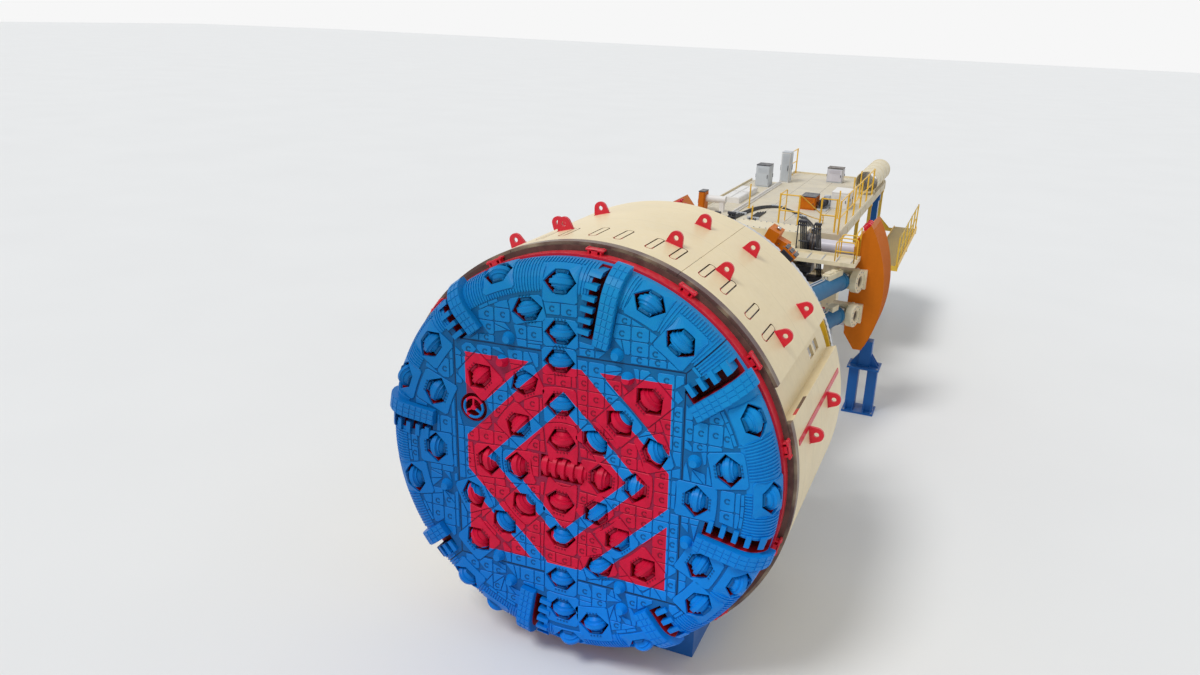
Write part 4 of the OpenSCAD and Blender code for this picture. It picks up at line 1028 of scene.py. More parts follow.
def build_cutters():
    """For each disc cutter its collar, shaft, clamps and, on the flat face, bolts beside it."""
    collars, cones, clamps, studs = [], [], [], []
    x, z_row = POCKET_WIDE + 0.032, (-0.10, -0.035, 0.035, 0.10)
    beside = bolts_at([(s * x, -0.022, z) for s in (-1, 1) for z in z_row], FORWARDS, 0.018, 0.016)
    for (r, angle), (out, side) in zip(CUTTERS, REACHES):
        turn, shift = on_head(r, angle)
        collars.append(collar(r, angle, out, side))
        cones.append(moved(spindle(), turn, shift))
        clamps += [moved(part, turn, shift) for part in saddle()]
        if r < FLAT_R - 0.2:
            studs += [moved(part, turn, shift) for part in beside]
    piece("pocket_collars", collars, "plates", "cutterhead")
    piece("cutter_cones", cones, "plates", "cutterhead", smooth=True)
    # Painted shade: clamps and bolts take the darkened head paint
    piece("cutter_clamps", clamps, "weld", "cutterhead")
    piece("collar_bolts", studs, "weld", "cutterhead")


def apart(a, b):
    """Degrees between two angles, the short way round."""
    return abs((a - b + 180) % 360 - 180)


def free_arcs(angle, start, end, shortest):
    """Stretches between two arc lengths that no collar crosses at that angle, none shorter than that."""
    taken = [(end, end)]
    for (r, a), (out, side) in zip(CUTTERS, REACHES):
        if r > 3.0 and math.radians(apart(angle, a)) * min(r, 3.85) < side + 0.02:
            middle = head_arc(r) - FLAT_R
            taken.append((middle - out - 0.015, middle + out + 0.015))
    free = []
    for low, high in sorted(taken):
        if min(low, end) - start >= shortest:
            free.append((start, min(low, end)))
        start = max(start, high)
    return free


def beside_buckets(angle, half):
    """Whether a rib of that half width (degrees) misses every bucket's slot, bar and teeth."""
    middles = BUCKETS[:, 0] - math.degrees(0.15 / 3.7)
    return bool((apart(angle, middles) > math.degrees(0.32 / 3.7) + half).all())


def build_gauge_bars():
    """Fine wear bars round the head's edge: low bars that follow the rounding, 60 mm apart."""
    bars = []
    half, steps = math.radians(0.24), 7
    section = [(-half, -0.004), (-half * 0.8, 0.020), (half * 0.8, 0.020), (half, -0.004)]
    for angle in np.arange(390) * 360 / 390:
        if beside_buckets(angle, 0.3):
            for low, high in free_arcs(angle, -0.02, GAUGE_R * 1.5, 0.08):
                s = np.linspace(low, high, steps)
                points = np.stack([gauge_point(s, math.radians(angle) + da, h) for da, h in section])
                bars.append((points.reshape(-1, 3), bar_faces(steps)))
    piece("gauge_wear_bars", bars, "plates", "cutterhead")


def build_edge_strip():
    """A strip of small plates along the flat face's end."""
    plates = []
    low, high, half = -0.09, -0.035, 1.7
    for angle in np.arange(96) * 3.75:
        clear = all(free_arcs(angle + side, low, high, 0.05) for side in (-half, half))
        if clear and beside_buckets(angle, 1.6):
            a, da = math.radians(angle), math.radians(half)
            arc, at = rectangle(low, a - da, high, a + da).T
            points = [gauge_point(arc, at, h) for h in (-0.003, 0.016)]
            plates.append((np.concatenate(points), capped_faces(2, 4)))
    piece("edge_wear_strip", plates, "plates", "cutterhead")


def build_bucket_plates():
    """Small wear plates in three rows on each bucket's bar, out over the face and on round its edge."""
    parts = []
    outline = rectangle(-0.058, -0.042, 0.058, 0.042)
    rings = [(outline, BAR_TOP - 0.006), (outline, BAR_TOP + 0.008), (outline * 0.9, BAR_TOP + 0.013)]
    for angle, inner in BUCKETS:
        for s in np.arange(inner + 0.02 - FLAT_R, GAUGE_R * 1.45, 0.135):
            r = FLAT_R + (s if s < 0 else GAUGE_R * math.sin(min(s / GAUGE_R, math.pi / 2)))
            for z in (-SLOT_HALF - 0.055, -SLOT_HALF - 0.15, -SLOT_HALF - 0.245):
                points = [gauge_point(s + o[:, 0], math.radians(angle) + np.arcsin((z + o[:, 1]) / r), h)
                          for o, h in rings]
                parts.append((np.concatenate(points), capped_faces(3, 4, inward=True)))
    piece("bucket_wear_plates", parts, "plates", "cutterhead")


# shield and drive

# Angle, front place, rear place and body of each row of lifting lugs
LUG_ROWS = [(74.2, 1.33, 3.17, "roof"), (105.8, 1.33, 3.17, "roof"), (59, 1.27, 3.24, "side_r"),
            (36.9, 1.25, 3.20, "side_r"), (121, 1.27, 3.24, "side_l"), (143.1, 1.25, 3.20, "side_l"),
            (10.4, 1.17, 3.07, "body"), (169.6, 1.17, 3.07, "body")]
LUG_HALF, LUG_T = 0.165, 0.03
BRACKETS = [14, 38, 62, 88, 118, 142, 166, 192, 222, 252, 288, 318, 346]
SHIELD_END, ROOF_BOLTS_R, RECESS_TOP = 4.60, 4.0, 3.85
MOTOR_STEP, MOTOR_R, MOTOR_FACE = 36, 2.05, 1.95


def foot_bead(angle, y):
    """The weld round a lug's foot: a bead that follows the foot's four sides on the round skin."""
    w, d, r = LUG_HALF + 0.004, LUG_T + 0.006, SHIELD_R + 0.002
    t = np.concatenate([np.linspace(-w, w, 7), np.linspace(w, -w, 7), [-w]])
    a = math.radians(angle) + t / SHIELD_R
    return tube(np.stack([r * np.cos(a), y + np.repeat([-d, d, -d], [7, 7, 1]), r * np.sin(a)], -1), 0.013, 6)


def build_shield():
    """Welds round the lugs' feet, the lip's bracket plates and the bolts of the roof's edge."""
    for body in ("roof", "side_r", "side_l", "body"):
        beads = [foot_bead(a, y) for a, y1, y2, b in LUG_ROWS if b == body for y in (y1, y2)]
        dress("lug_welds_" + body, beads, "red", body, smooth=True)
    bracket = bolts_at([(4.09, y, z) for y in (-0.16, -0.09) for z in (-0.14, 0.14)], X_OUT, 0.020, 0.016)
    bracket.append(block((4.045, -0.20, -0.18), (4.092, -0.045, 0.18), 0.012))
    bracket += [block((3.965, -0.19, z - 0.018), (4.055, -0.06, z + 0.018), 0.006) for z in (-0.12, 0.12)]
    dress("bracket_plates", [around(p, a) for a in BRACKETS for p in bracket], "red")
    rim = [(ROOF_BOLTS_R * math.cos(t), SHIELD_END, ROOF_BOLTS_R * math.sin(t))
           for t in np.radians(np.arange(22, 158, 2))]
    dress("roof_edge_bolts", bolts_at([p for p in rim if p[2] > RECESS_TOP], BACKWARDS, 0.024, 0.02), "bolt")


def build_drive():
    """Ten drive motors: flange, bolts, cooling fins, terminal box and cable."""
    flange = [along(disc(0.362, 0, 0.06), (MOTOR_R, MOTOR_FACE, 0), BACKWARDS)]
    bolts = bolt_circle((MOTOR_R, MOTOR_FACE + 0.06, 0), BACKWARDS, 0.325, 12, 0.018, 0.016)
    fin = disc(0.288, 0, 0.03, 0.016, 0.008, 32)
    fins = [along(fin, (MOTOR_R, y, 0), BACKWARDS) for y in np.linspace(2.16, 2.74, 9)]
    box = [block((1.62, 2.30, -0.11), (1.80, 2.66, 0.11), 0.015)]
    bends = [(1.70, 2.66), (1.70, 2.95), (1.45, 2.95), (1.28, 2.6), (1.28, 1.52)]
    line = [pipe([(x, y, 0.05) for x, y in bends], 0.022)]

    def all_round(parts):
        return [around(p, angle) for angle in range(0, 360, MOTOR_STEP) for p in parts]

    bolts = all_round(bolts) + bolt_circle((0, 1.5, 0), BACKWARDS, 2.58, 80, 0.03, 0.026)
    bolts += bolt_circle((0, 1.5, 0), BACKWARDS, 1.52, 40, 0.028, 0.024)
    dress("motor_flanges", all_round(flange), "blue")
    dress("motor_fins", all_round(fins), "blue")
    dress("motor_bolts", bolts, "bolt")
    dress("terminal_boxes", all_round(box), "grey")
    dress("motor_cables", all_round(line), "hose", smooth=True)


# beam, erector and drills

BEAM_HALF = 0.8
# Where the erector ring is held, and where its two grips are (degrees)
ARM_ANGLES, GRIP_ANGLES = (45, 135, 225, 315), (51, 231)
ERECTOR_FRONT, ERECTOR_REAR, ERECTOR_BOLTS_R = 5.55, 5.85, 3.70
TEETH, TOOTH_HIGH, TEETH_R = 180, 0.012, 3.80
MAST_LEAN, MAST_FOOT = 66, (1.15, 7.0, 0.95)


def build_beam():
    """Bolts of the beam's flanges, its long and round welds, and the pipes on its top."""
    heads = bolt_frame(0.865, 9.22, FORWARDS, 0.165, 0.032) + bolt_frame(0.865, 9.38, BACKWARDS, 0.165, 0.032)
    heads += bolt_frame(0.99, 1.58, BACKWARDS, 0.18, 0.034)
    feet = [(0.843, y, z + d) for z in (0.49, -0.63)
            for y in np.linspace(7.32, 8.56, 7) for d in (-0.165, 0.165)]
    dress("beam_flange_bolts", heads + both(bolts_at(feet, X_OUT, 0.024, 0.02)), "bolt")
    b = BEAM_HALF
    long_welds = [tube(np.c_[np.full(40, b), np.linspace(y1, y2, 40), np.full(40, z)], 0.011, 6)
                  for z in (-b, b) for y1, y2 in ((1.6, 9.2), (9.4, 21.48))]
    round_welds = [tube([(-b, y, -b), (b, y, -b), (b, y, b), (-b, y, b), (-b, y, -b)], 0.012, 6)
                   for y in (1.585, 9.215, 9.385)]
    dress("beam_welds", both(long_welds) + round_welds, "beam", smooth=True)
    lines = []
    for x, r in ((-0.62, 0.022), (-0.56, 0.022), (-0.49, 0.030), (-0.40, 0.038)):
        z = b + 0.02 + r
        lines += [tube([(x, y1, z), (x, y2, z)], r) for y1, y2 in ((7.6, 9.218), (9.382, 12.9))]
    clips = [block((-0.67, y, b), (-0.33, y + 0.05, b + 0.045), 0.006)
             for y in (7.8, 8.4, 9.0, 9.6, 10.3, 11.0, 11.7, 12.4)]
    dress("beam_pipes", lines, "steel", smooth=True)
    dress("beam_pipe_clips", clips, "grey")


def build_erector():
    """The erector ring's bolts, teeth and grip pads, and the flanges and guides of its arms."""
    heads = bolt_circle((0, ERECTOR_FRONT, 0), FORWARDS, ERECTOR_BOLTS_R, 72, 0.022, 0.018)
    heads += bolt_circle((0, ERECTOR_REAR, 0), BACKWARDS, ERECTOR_BOLTS_R, 72, 0.022, 0.018)
    dress("erector_bolts", heads, "bolt", "erector")
    a = full_turn(2 * TEETH)
    tooth = TOOTH_HIGH * (np.arange(2 * TEETH) % 2)
    rings = [np.stack([r * np.cos(a), np.full(2 * TEETH, y), r * np.sin(a)], -1)
             for r, y in ((TEETH_R, 5.62), (TEETH_R + 0.022 + tooth, 5.62), (TEETH_R + 0.022 + tooth, 5.78),
                          (TEETH_R, 5.78))]
    faces = [f[::-1] for f in ring_faces(4, 2 * TEETH)]
    dress("erector_teeth", [(np.concatenate(rings), faces)], "steel", "erector")
    pads = [block((4.018, 5.53, z - 0.045), (4.040, 5.87, z + 0.045)) for z in (-0.13, 0.0, 0.13)]
    pads.append(block((3.84, 5.46, -0.16), (3.98, 5.502, 0.16), 0.01))
    dress("grip_pads", [around(p, a) for a in GRIP_ANGLES for p in pads], "dark", "erector")
    ribs = [block((1.1, 5.56, z), (3.5, 5.84, z + 0.025), 0.006) for z in (-0.155, 0.130)]
    dress("erector_arm_flanges", [around(p, a) for p in ribs for a in ARM_ANGLES], "beam")
    guides = [block((3.38, 5.58, z - 0.06), (3.56, 5.82, z + 0.06), 0.012) for z in (-0.2, 0.2)]
    dress("erector_guides", [around(p, a) for a in ARM_ANGLES for p in guides], "red")


def on_mast(part):
    """From the mast's own frame (X along the mast) to the machine's frame."""
    points, faces = around(part, MAST_LEAN)
    return points + np.array(MAST_FOOT), faces


def build_drills():
    """Rails, rod, bolts and hoses of the drill masts."""
    rails, bolts = [], []
    for y in (-0.13, 0.13):
        rails.append(block((0.1, y - 0.02, 0.150), (1.49, y + 0.02, 0.185), 0.006))
        rails.append(block((-0.1, y - 0.015, -0.175), (2.25, y + 0.015, -0.150), 0.005))
    rails.append(block((0.35, -0.07, 0.150), (0.45, 0.07, 0.33), 0.01))
    rails.append(block((0.95, -0.06, 0.150), (1.03, 0.06, 0.32), 0.01))
    rods = [tube([(low, 0, 0.26), (high, 0, 0.26)], radius, 12)
            for low, high, radius in ((0.15, 1.5, 0.03), (2.45, 2.52, 0.05))]
    for x in np.linspace(0.05, 2.2, 10):
        for side in (-1, 1):
            bolts += bolts_at([(x, side * 0.172, 0.07), (x, side * 0.172, -0.07)], (0, side, 0), 0.018, 0.015)
    lines = [pipe([(1.62, y, 0.452), (1.62, y, 0.50), (1.45, y, 0.50), (1.35, y, 0.24), (0.6, y * 0.4, 0.215),
                   (0.02, y * 0.4, 0.215)], 0.016, 0.07) for y in -0.16 + 0.1 * np.arange(4)]
    for name, parts, paint, smooth in (
            ("feed_rails", rails, "dark", False), ("drill_rod", rods, "steel", True),
            ("mast_bolts", bolts, "bolt", False), ("mast_hoses", lines, "hose", True)):
        dress_pair(name, [on_mast(p) for p in parts], paint, "drill", smooth=smooth)


# grippers and thrust cylinders

# Height of the two rows of gripper cylinders over and under the axis, and their place along the machine
ROW_Z, GRIP_Y = 1.18, 15.2
THRUST_ANGLE, THRUST_BALL, THRUST_ROW = math.atan2(1.47, 6.0), (2.72, 14.0, -0.07), 0.56
SLOPE_AT, SLOPE_OUT = (3.20, 14.78, 2.09), (-0.779, 0, 0.627)
SHOE_FACE_R, SHOE_FACE_X = 4.2, -0.3
SHOE_BOLT_ROWS = (14.42, 15.98)


def thrust_at(part, row):
    """From a thrust cylinder's own frame (Z along it, from its ball) to the machine's frame, right side."""
    c, s = math.cos(THRUST_ANGLE), math.sin(THRUST_ANGLE)
    forward, side = np.array([-s, -c, 0]), np.array([c, -s, 0])
    x, y, z = THRUST_BALL
    return moved(part, np.stack([side, np.cross(forward, side), forward], 1), (x, y, z + row * THRUST_ROW))


def build_thrust():
    """Glands, bolts, valve blocks and pipes of the thrust cylinders."""
    glands, heads, ports, lines = [], [], [], []
    bolts = bolt_circle((0, 0, 3.90), UPWARDS, 0.275, 16, 0.020, 0.018)
    wiper = turned([(0.215, 3.895), (0.215, 3.93), (0.200, 3.945)], 32)
    for row, block_end, cocks in ((1, 1.55, (0.62, 0.88, 1.14, 1.34)), (-1, 1.02, ())):
        sleeves = [disc(0.345, 3.60, 3.87), disc(0.300, 0.36, 0.53, 0.014), wiper]
        valves = [block((-0.13, 0.22, 0.55), (0.13, 0.42, block_end), 0.014)]
        valves += [block((-0.09, 0.41, h), (0.09, 0.47, h + 0.16), 0.012) for h in cocks]
        valves.append(block((-0.07, 0.27, 3.30), (0.07, 0.37, 3.48), 0.012))
        pipes = [pipe([(x, 0.36, block_end - 0.01), (x, 0.36, block_end + 0.14), (x, 0.315, block_end + 0.24),
                       (x, 0.315, 3.31)], 0.017, 0.06) for x in (-0.05, 0.05)]
        for group, parts in ((glands, sleeves), (heads, bolts), (ports, valves), (lines, pipes)):
            group.extend(thrust_at(p, row) for p in parts)
    dress_pair("cylinder_glands", glands, "teal", "barrels")
    dress_pair("gland_bolts", heads, "bolt", "barrels")
    dress_pair("valve_blocks", ports, "beam", "barrels")
    dress_pair("cylinder_pipes", lines, "steel", "barrels", smooth=True)


def face_rib(y, low=-25.0, high=29.5, count=24):
    """A thin bar along the shoe's round outer face, its section a low trapezium."""
    a = np.radians(np.linspace(low, high, count))
    rows = [(y - 0.028, -0.006), (y + 0.028, -0.006), (y + 0.022, 0.014), (y - 0.022, 0.014)]
    points = [np.stack([SHOE_FACE_X + (SHOE_FACE_R + h) * np.cos(a), np.full(count, w),
                        (SHOE_FACE_R + h) * np.sin(a)], -1) for w, h in rows]
    return np.concatenate(points), bar_faces(count)


def build_shoes():
    """Bolts, ribs, flanges, socket rings and couplings of the gripper shoes, and a dark plug in each ring's
    bore as painted shade.
    """
    heads, rings, bore_shades, flanges = [], [], [], []
    for row in (1, -1):
        def across(part):
            return thrust_at(along(part, (0, 0, 0), X_OUT), row)
        rings.append(across(washer(0.17, 0.37, 0.28, 0.50, 0.016)))
        # Painted shade: a dark brown plug filling each socket ring's bore
        bore_shades.append(across(turned([(0.172, 0.36), (0.172, 0.44), (0.06, 0.445)], 40)))
        heads += [across(p) for p in bolt_circle((0, 0, 0.499), UPWARDS, 0.30, 12, 0.022, 0.02)]
        flanges.append(along(disc(0.31, 0, 0.085), (2.765, GRIP_Y, row * ROW_Z), X_OUT))
        heads += bolt_circle((2.766, GRIP_Y, row * ROW_Z), X_IN, 0.268, 12, 0.02, 0.018)
    places = [(2.85, y, z) for y in SHOE_BOLT_ROWS for z in np.linspace(-1.25, 1.55, 9)]
    heads += bolts_at(places, X_IN, 0.024, 0.02)
    couplings = []
    for x in (-0.30, -0.06, 0.18):
        for y in (-0.13, 0.03):
            couplings.append(box_at(x, y, -0.01, 0.06, 0.055, 0.11, 0.015))
            couplings.append(tube([(x, y, 0.09), (x, y, 0.16)], 0.026, 12))
    dress_pair("shoe_bolts", heads, "bolt", "shoe")
    dress_pair("shoe_ribs", [face_rib(y) for y in np.linspace(*SHOE_BOLT_ROWS, 9)], "orange", "shoe")
    dress_pair("rod_flanges", flanges, "orange", "shoe")
    dress_pair("socket_rings", rings, "beam", "shoe")
    dress_pair("socket_bore_shade", bore_shades, "barrel", "shoe")
    dress_pair("shoe_couplings", [along(p, SLOPE_AT, SLOPE_OUT) for p in couplings], "red", "shoe")


def build_carriage():
    """Bolts and glands of the gripper cylinders, handrails and bars of the platform."""
    heads, glands = [], []
    inner = turned([(0.31, -0.09), (0.335, -0.08), (0.335, -0.012), (0.31, 0)], 44)
    for z in (ROW_Z, -ROW_Z):
        glands.append(along(disc(0.36, 0, 0.13, 0.025, 0.01, 44), (1.205, GRIP_Y, z), X_OUT))
        glands.append(along(inner, (1.59, GRIP_Y, z), X_OUT))
        heads += bolt_circle((1.60, GRIP_Y, z), X_OUT, 0.285, 14, 0.019, 0.017)
        heads += bolt_circle((1.20, GRIP_Y, z), X_OUT, 0.40, 18, 0.024, 0.02)
    for side in (1, -1):
        places = [(x, y, side * 1.63) for x in np.linspace(0.1, 1.1, 6) for y in (14.7, 15.7)]
        heads += bolts_at(places, (0, 0, side), 0.026, 0.022)
    dress("gripper_bolts", both(heads), "bolt", "carriage")
    dress("gripper_glands", both(glands), "dark", "carriage")
    (x1, x2), (y1, y2), z = (2.45, 3.02), (13.16, 14.22), 1.21
    rails = [handrail([(x1, y, z), (x1, y, z + 0.62), (x2, y, z + 0.62), (x2, y, z)])
             for y in (y1, 13.70, y2)]
    rails.append(handrail([(x2, y1, z), (x2, y1, z + 0.92), (x2, y2, z + 0.92), (x2, y2, z)]))
    rails.append(handrail([(x1, y1, z + 0.32), (x2, y1, z + 0.32)]))
    bars = [block((x - 0.012, 13.17, 1.115), (x + 0.012, 14.20, 1.150), 0.004)
            for x in np.linspace(-2.9, 2.9, 14)]
    dress("carriage_handrails", both(rails), "yellow", "carriage", smooth=True)
    dress("platform_bars", bars, "grey", "carriage")


# Foot (x, z), top (x, z) and number of each bundle of hoses on the carriage, and the pitch in a bundle
HOSE_BUNDLES, HOSE_PITCH = [((1.24, 0.70), (1.09, 2.06), 4), ((1.80, 0.34), (1.60, 2.02), 3)], 0.056


def build_carriage_hoses():
    """A filter unit on each side of the carriage, with hoses clamped to slim masts."""
    vessel = turned([(0.17, 0), (0.18, 0.01), (0.18, 0.30), (0.15, 0.33), (0.15, 0.62), (0.11, 0.66)], 28)
    unit = [along(vessel, (1.28, 14.30, 0.42), UPWARDS),
            block((1.06, 14.02, 0.50), (1.62, 14.56, 0.72), 0.02),
            block((0.92, 14.0, 0.18), (1.50, 14.58, 0.48), 0.02),
            block((1.50, 14.18, 0.18), (1.98, 14.50, 0.36), 0.015)]
    lines, masts = [], []
    for (low_x, low_z), (x, z), count in HOSE_BUNDLES:
        for k in range(count):
            dx, y = HOSE_PITCH * k, 14.315 + 0.012 * (k % 2)
            lines.append(tube([(low_x + dx, y, low_z), (x + dx, y, z)], 0.025))
        wide = HOSE_PITCH * (count - 1)
        for share in (0.15, 0.55, 0.93):
            cx, cz = low_x + share * (x - low_x), low_z + share * (z - low_z)
            masts.append(block((cx - 0.075, 14.275, cz - 0.02), (cx + wide + 0.035, 14.36, cz + 0.02)))
        masts.append(block((x - 0.075, 14.235, 1.195), (x - 0.04, 14.285, z + 0.03)))
        masts.append(block((x - 0.06, 14.26, z - 0.02), (x + wide + 0.05, 14.37, z + 0.07), 0.015))
    dress("carriage_unit", both(unit), "dark", "carriage")
    dress("hose_masts", both(masts), "dark", "carriage")
    dress("carriage_hoses", both(lines), "hose", "carriage", smooth=True)


# rear: legs, conveyor, deck, walkways, stands

DECK_Z, DECK_FRONT, DECK_END, FOOT_Z, STAND_FOOT_Z = 1.4, 16.0, 28.778, -4.24, -4.34


def gusset(x, y, z, run, rise, quarter):
    """A triangular stiffener with its corner at (x, y, z), its foot turned by quarters from X."""
    return spun(upright(prism([[0, 0], [run, 0], [0, rise]], -0.012, 0.012), (0, 0, 0)), quarter, (x, y, z))


def build_legs():
    """Bolts and collars of the rear legs' housings, bolts and stiffeners of their feet."""
    heads = []
    for side in (-1, 1):
        places = [(x, 19.6 + side * 0.30, z) for x in (1.27, 1.5, 1.73) for z in (-1.95, 0.15)]
        places += [(x, 19.6 + side * 0.35, z) for x in np.linspace(0.15, 1.1, 5) for z in (-1.30, -0.90)]
        heads += bolts_at(places, (0, side, 0), 0.028, 0.024)
    sides = ((1.17, 1.255, 19.27, 19.93), (1.745, 1.83, 19.27, 19.93), (1.255, 1.745, 19.27, 19.355),
             (1.255, 1.745, 19.845, 19.93))
    collars = [block((x1, y1, z), (x2, y2, z + 0.05), 0.006)
               for z in (-2.15, 0.30) for x1, x2, y1, y2 in sides]
    places = [(x, y, FOOT_Z) for x in (1.08, 1.92) for y in np.linspace(19.05, 20.15, 4)]
    gussets = [gusset(x, y, FOOT_Z, 0.24, 0.34, q) for x in (1.32, 1.68) for y, q in ((19.35, 3), (19.85, 1))]
    dress("leg_housing_bolts", both(heads), "bolt")
    dress("leg_housing_collars", both(collars), "red")
    dress_pair("foot_bolts", bolts_at(places, UPWARDS, 0.035, 0.03), "bolt", "leg")
    dress_pair("foot_gussets", gussets, "beam", "leg")


def build_conveyor():
    """Rollers, ribs and bolts of the conveyor's tail."""
    roller = disc(0.06, 0, 0.99, 0.03, 0.01, 20)
    rollers = [along(roller, (-0.495, y, -0.02), X_OUT) for y in np.linspace(20.3, 22.7, 7)]
    brackets = [block((0.62, y - 0.03, -0.70), (0.66, y + 0.03, 0.08)) for y in np.linspace(20.3, 23.5, 9)]
    brackets.append(block((0.62, 20.02, 0.06), (0.67, 23.69, 0.10)))
    brackets.append(block((0.62, 22.95, -0.42), (0.72, 23.45, 0.02), 0.02))
    dress("conveyor_rollers", rollers, "steel", smooth=True)
    dress("conveyor_ribs", both(brackets), "grey")
    dress("conveyor_bolts", both(bolt_circle((0.72, 23.2, -0.2), X_OUT, 0.16, 8, 0.018, 0.016)), "bolt")


BOXES = [  # x and y from, x and y to, height, paint of the doors, paint of the lid, slot word put into the pieces' names
    (1.0, 20.6, 1.6, 21.8, 0.63, "white", "white", "beam_cream"),
    (-2.07, 25.55, -1.70, 26.1, 1.30, "grey", "grey", "beam_cream"),
    (-0.27, 26.9, 0.38, 27.5, 0.62, "rod", "barrel", "grey_paint"),
    (-2.75, 23.9, -2.20, 24.6, 0.90, "grey", "dark", "grey_paint"),
    (-0.02, 19.9, 0.52, 20.8, 0.48, "orange", "dark", "orange_paint"),
    (-3.26, 17.4, -3.05, 17.9, 0.70, "orange", "dark", "orange_paint"),
]
DOOR_W, LOUVRED_W = 0.6, 0.3


def door_leaves(width, height):
    """Doors and handles of one side of a cabinet that looks along -Y, its lower middle at the origin."""
    count = max(1, round(width / DOOR_W))
    leaves, grips = [], []
    for k in range(count):
        a = -width / 2 + width * k / count
        b = a + width / count
        leaves.append(block((a + 0.02, -0.016, 0.05), (b - 0.02, 0.002, height - 0.045), 0.005))
        if b - a > LOUVRED_W:
            leaves += [block((a + 0.09, -0.027, z), (b - 0.09, -0.014, z + 0.014), 0.004)
                       for z in np.linspace(height * 0.66, height * 0.86, 5)]
            grips.append(block((b - 0.075, -0.036, height * 0.40), (b - 0.052, -0.014, height * 0.58), 0.005))
    return leaves, grips


def build_boxes():
    """Doors, lids and handles of the deck's cabinets."""
    groups, grips = {}, []
    for x1, y1, x2, y2, h, door, lid, slot in BOXES:
        mx, my, wx, wy = (x1 + x2) / 2, (y1 + y2) / 2, x2 - x1, y2 - y1
        for quarter, (cx, cy, w) in enumerate(((mx, y1, wx), (x2, my, wy), (mx, y2, wx), (x1, my, wy))):
            leaves, handles = door_leaves(w, h)
            groups.setdefault((door, slot), []).extend(spun(p, quarter, (cx, cy, DECK_Z)) for p in leaves)
            grips += [spun(p, quarter, (cx, cy, DECK_Z)) for p in handles]
        top = DECK_Z + h
        cover = block((x1 - 0.015, y1 - 0.015, top - 0.01), (x2 + 0.015, y2 + 0.015, top + 0.025))
        groups.setdefault((lid, slot), []).append(cover)
    for (paint, slot), parts in groups.items():
        dress("box_panels_" + paint + "_" + slot, parts, paint)
    dress("box_handles", grips, "dark")
    lids = [block((x, y, 1.60), (x + 0.27, y + 0.62, 1.622), 0.006)
            for x in (-2.93, -2.60) for y in (19.66, 20.32, 21.16, 21.82)]
    dress("cover_lids", lids, "white")


def build_pump():
    """A pump with its motor, valves and pipes beside the orange box."""
    x, z = 0.76, 1.66
    shells = [(turned([(0.10, 0), (0.135, 0.012), (0.135, 0.44), (0.10, 0.47)], 28), 20.02),
              (disc(0.165, 0, 0.04, sides=28), 20.49),
              (turned([(0.085, 0), (0.09, 0.01), (0.09, 0.20), (0.07, 0.24)], 24), 20.53)]
    shells += [(disc(0.146, 0, 0.018, 0.014, 0.005, 28), y) for y in np.linspace(20.10, 20.40, 8)]
    valves = [block((0.62, 20.86, 1.46), (0.92, 21.28, 1.72), 0.015)]
    valves += [block((0.66, y, 1.72), (0.88, y + 0.10, 1.82), 0.01) for y in (20.92, 21.10)]
    lines = [pipe([(px, 20.70, z), (px, 20.80, z), (px, 20.80, pz), (px, 20.9, pz)], 0.018, 0.05)
             for px, pz in ((0.70, 1.60), (0.76, 1.53), (0.82, 1.60))]
    feed = [(0.52, 20.3, 1.5), (0.62, 20.3, 1.5), (0.62, 20.60, 1.5), (0.72, 20.60, 1.6)]
    lines.append(pipe(feed, 0.022, 0.05))
    dress("pump_base", [block((0.57, 19.95, DECK_Z), (0.95, 21.35, 1.46), 0.01)], "grey")
    dress("pump_motor", [along(shell, (x, y, z), BACKWARDS) for shell, y in shells], "dark")
    dress("valve_stack", valves, "grey")
    dress("pump_pipes", lines, "steel", smooth=True)


def build_deck():
    """The deck's toe boards, hoist track and front edge."""
    boards = [block((2.045, 16.12, 1.395), (2.078, 24.4, 1.50), 0.006),
              block((-2.078, 25.55, 1.395), (-2.045, 28.76, 1.50), 0.006),
              block((-3.298, 16.92, 1.395), (-3.268, 25.48, 1.49), 0.006),
              block((-2.05, 28.745, 1.395), (2.05, DECK_END, 1.47), 0.006)]
    boards += [block((2.072, y - 0.04, 1.09), (2.098, y + 0.04, 1.338), 0.006)
               for y in np.linspace(16.5, 28.5, 9)]
    track = [block((-2.02, 17.0, DECK_Z), (-1.90, 25.3, 1.455), 0.01),
             block((-1.98, 17.0, 1.45), (-1.94, 25.3, 1.53))]
    edge = [block((-0.05, 16.045, 1.285), (1.34, 16.105, 1.395), 0.01)]
    edge += [block((x, 16.05, 1.06), (x + 0.10, 16.12, 1.30), 0.01) for x in (-0.02, 0.62, 1.22)]
    dress("deck_toe_boards", boards, "beam")
    dress("hoist_track", track, "white")
    dress("front_edge_beam", edge, "yellow")


def build_deck_rails():
    """Handrails over the deck's front and single posts."""
    z = DECK_Z + 0.005
    x1, x2, x3, y1, y2 = -0.06, 0.60, 1.24, 16.40, 17.70
    rails = [handrail([(x1, y1, z + 1.10), (x1, 17.45, z + 1.10), (x1, 17.45, z)]),
             handrail([(x2, y1, z + 1.10), (x2, 16.55, z + 1.10), (x3, y2, z + 0.25), (x3, y2, z)]),
             handrail([(x1, y1, z + 0.55), (x1, 17.45, z + 0.55)]),
             handrail([(x2, y1, z + 0.55), (0.98, 17.0, z + 0.30), (x3, y2, z + 0.10)], 0.017)]
    for x, y, h in ((-0.96, 16.25, 0.62), (1.55, 18.9, 1.0), (1.60, 21.95, 1.05), (1.62, 23.6, 1.1),
                    (-1.75, 19.0, 0.9)):
        rails += [tube([(x, y, z), (x, y, z + h)], 0.026), box_at(x, y, z - 0.004, 0.07, 0.07, 0.016, 0.004)]
    rails += [block((-2.07, y - 0.05, z - 0.004), (-1.98, y + 0.05, z + 0.014), 0.004)
              for y in (26.55, 27.25, 27.95, 28.65)]
    dress("deck_handrails", rails, "yellow")


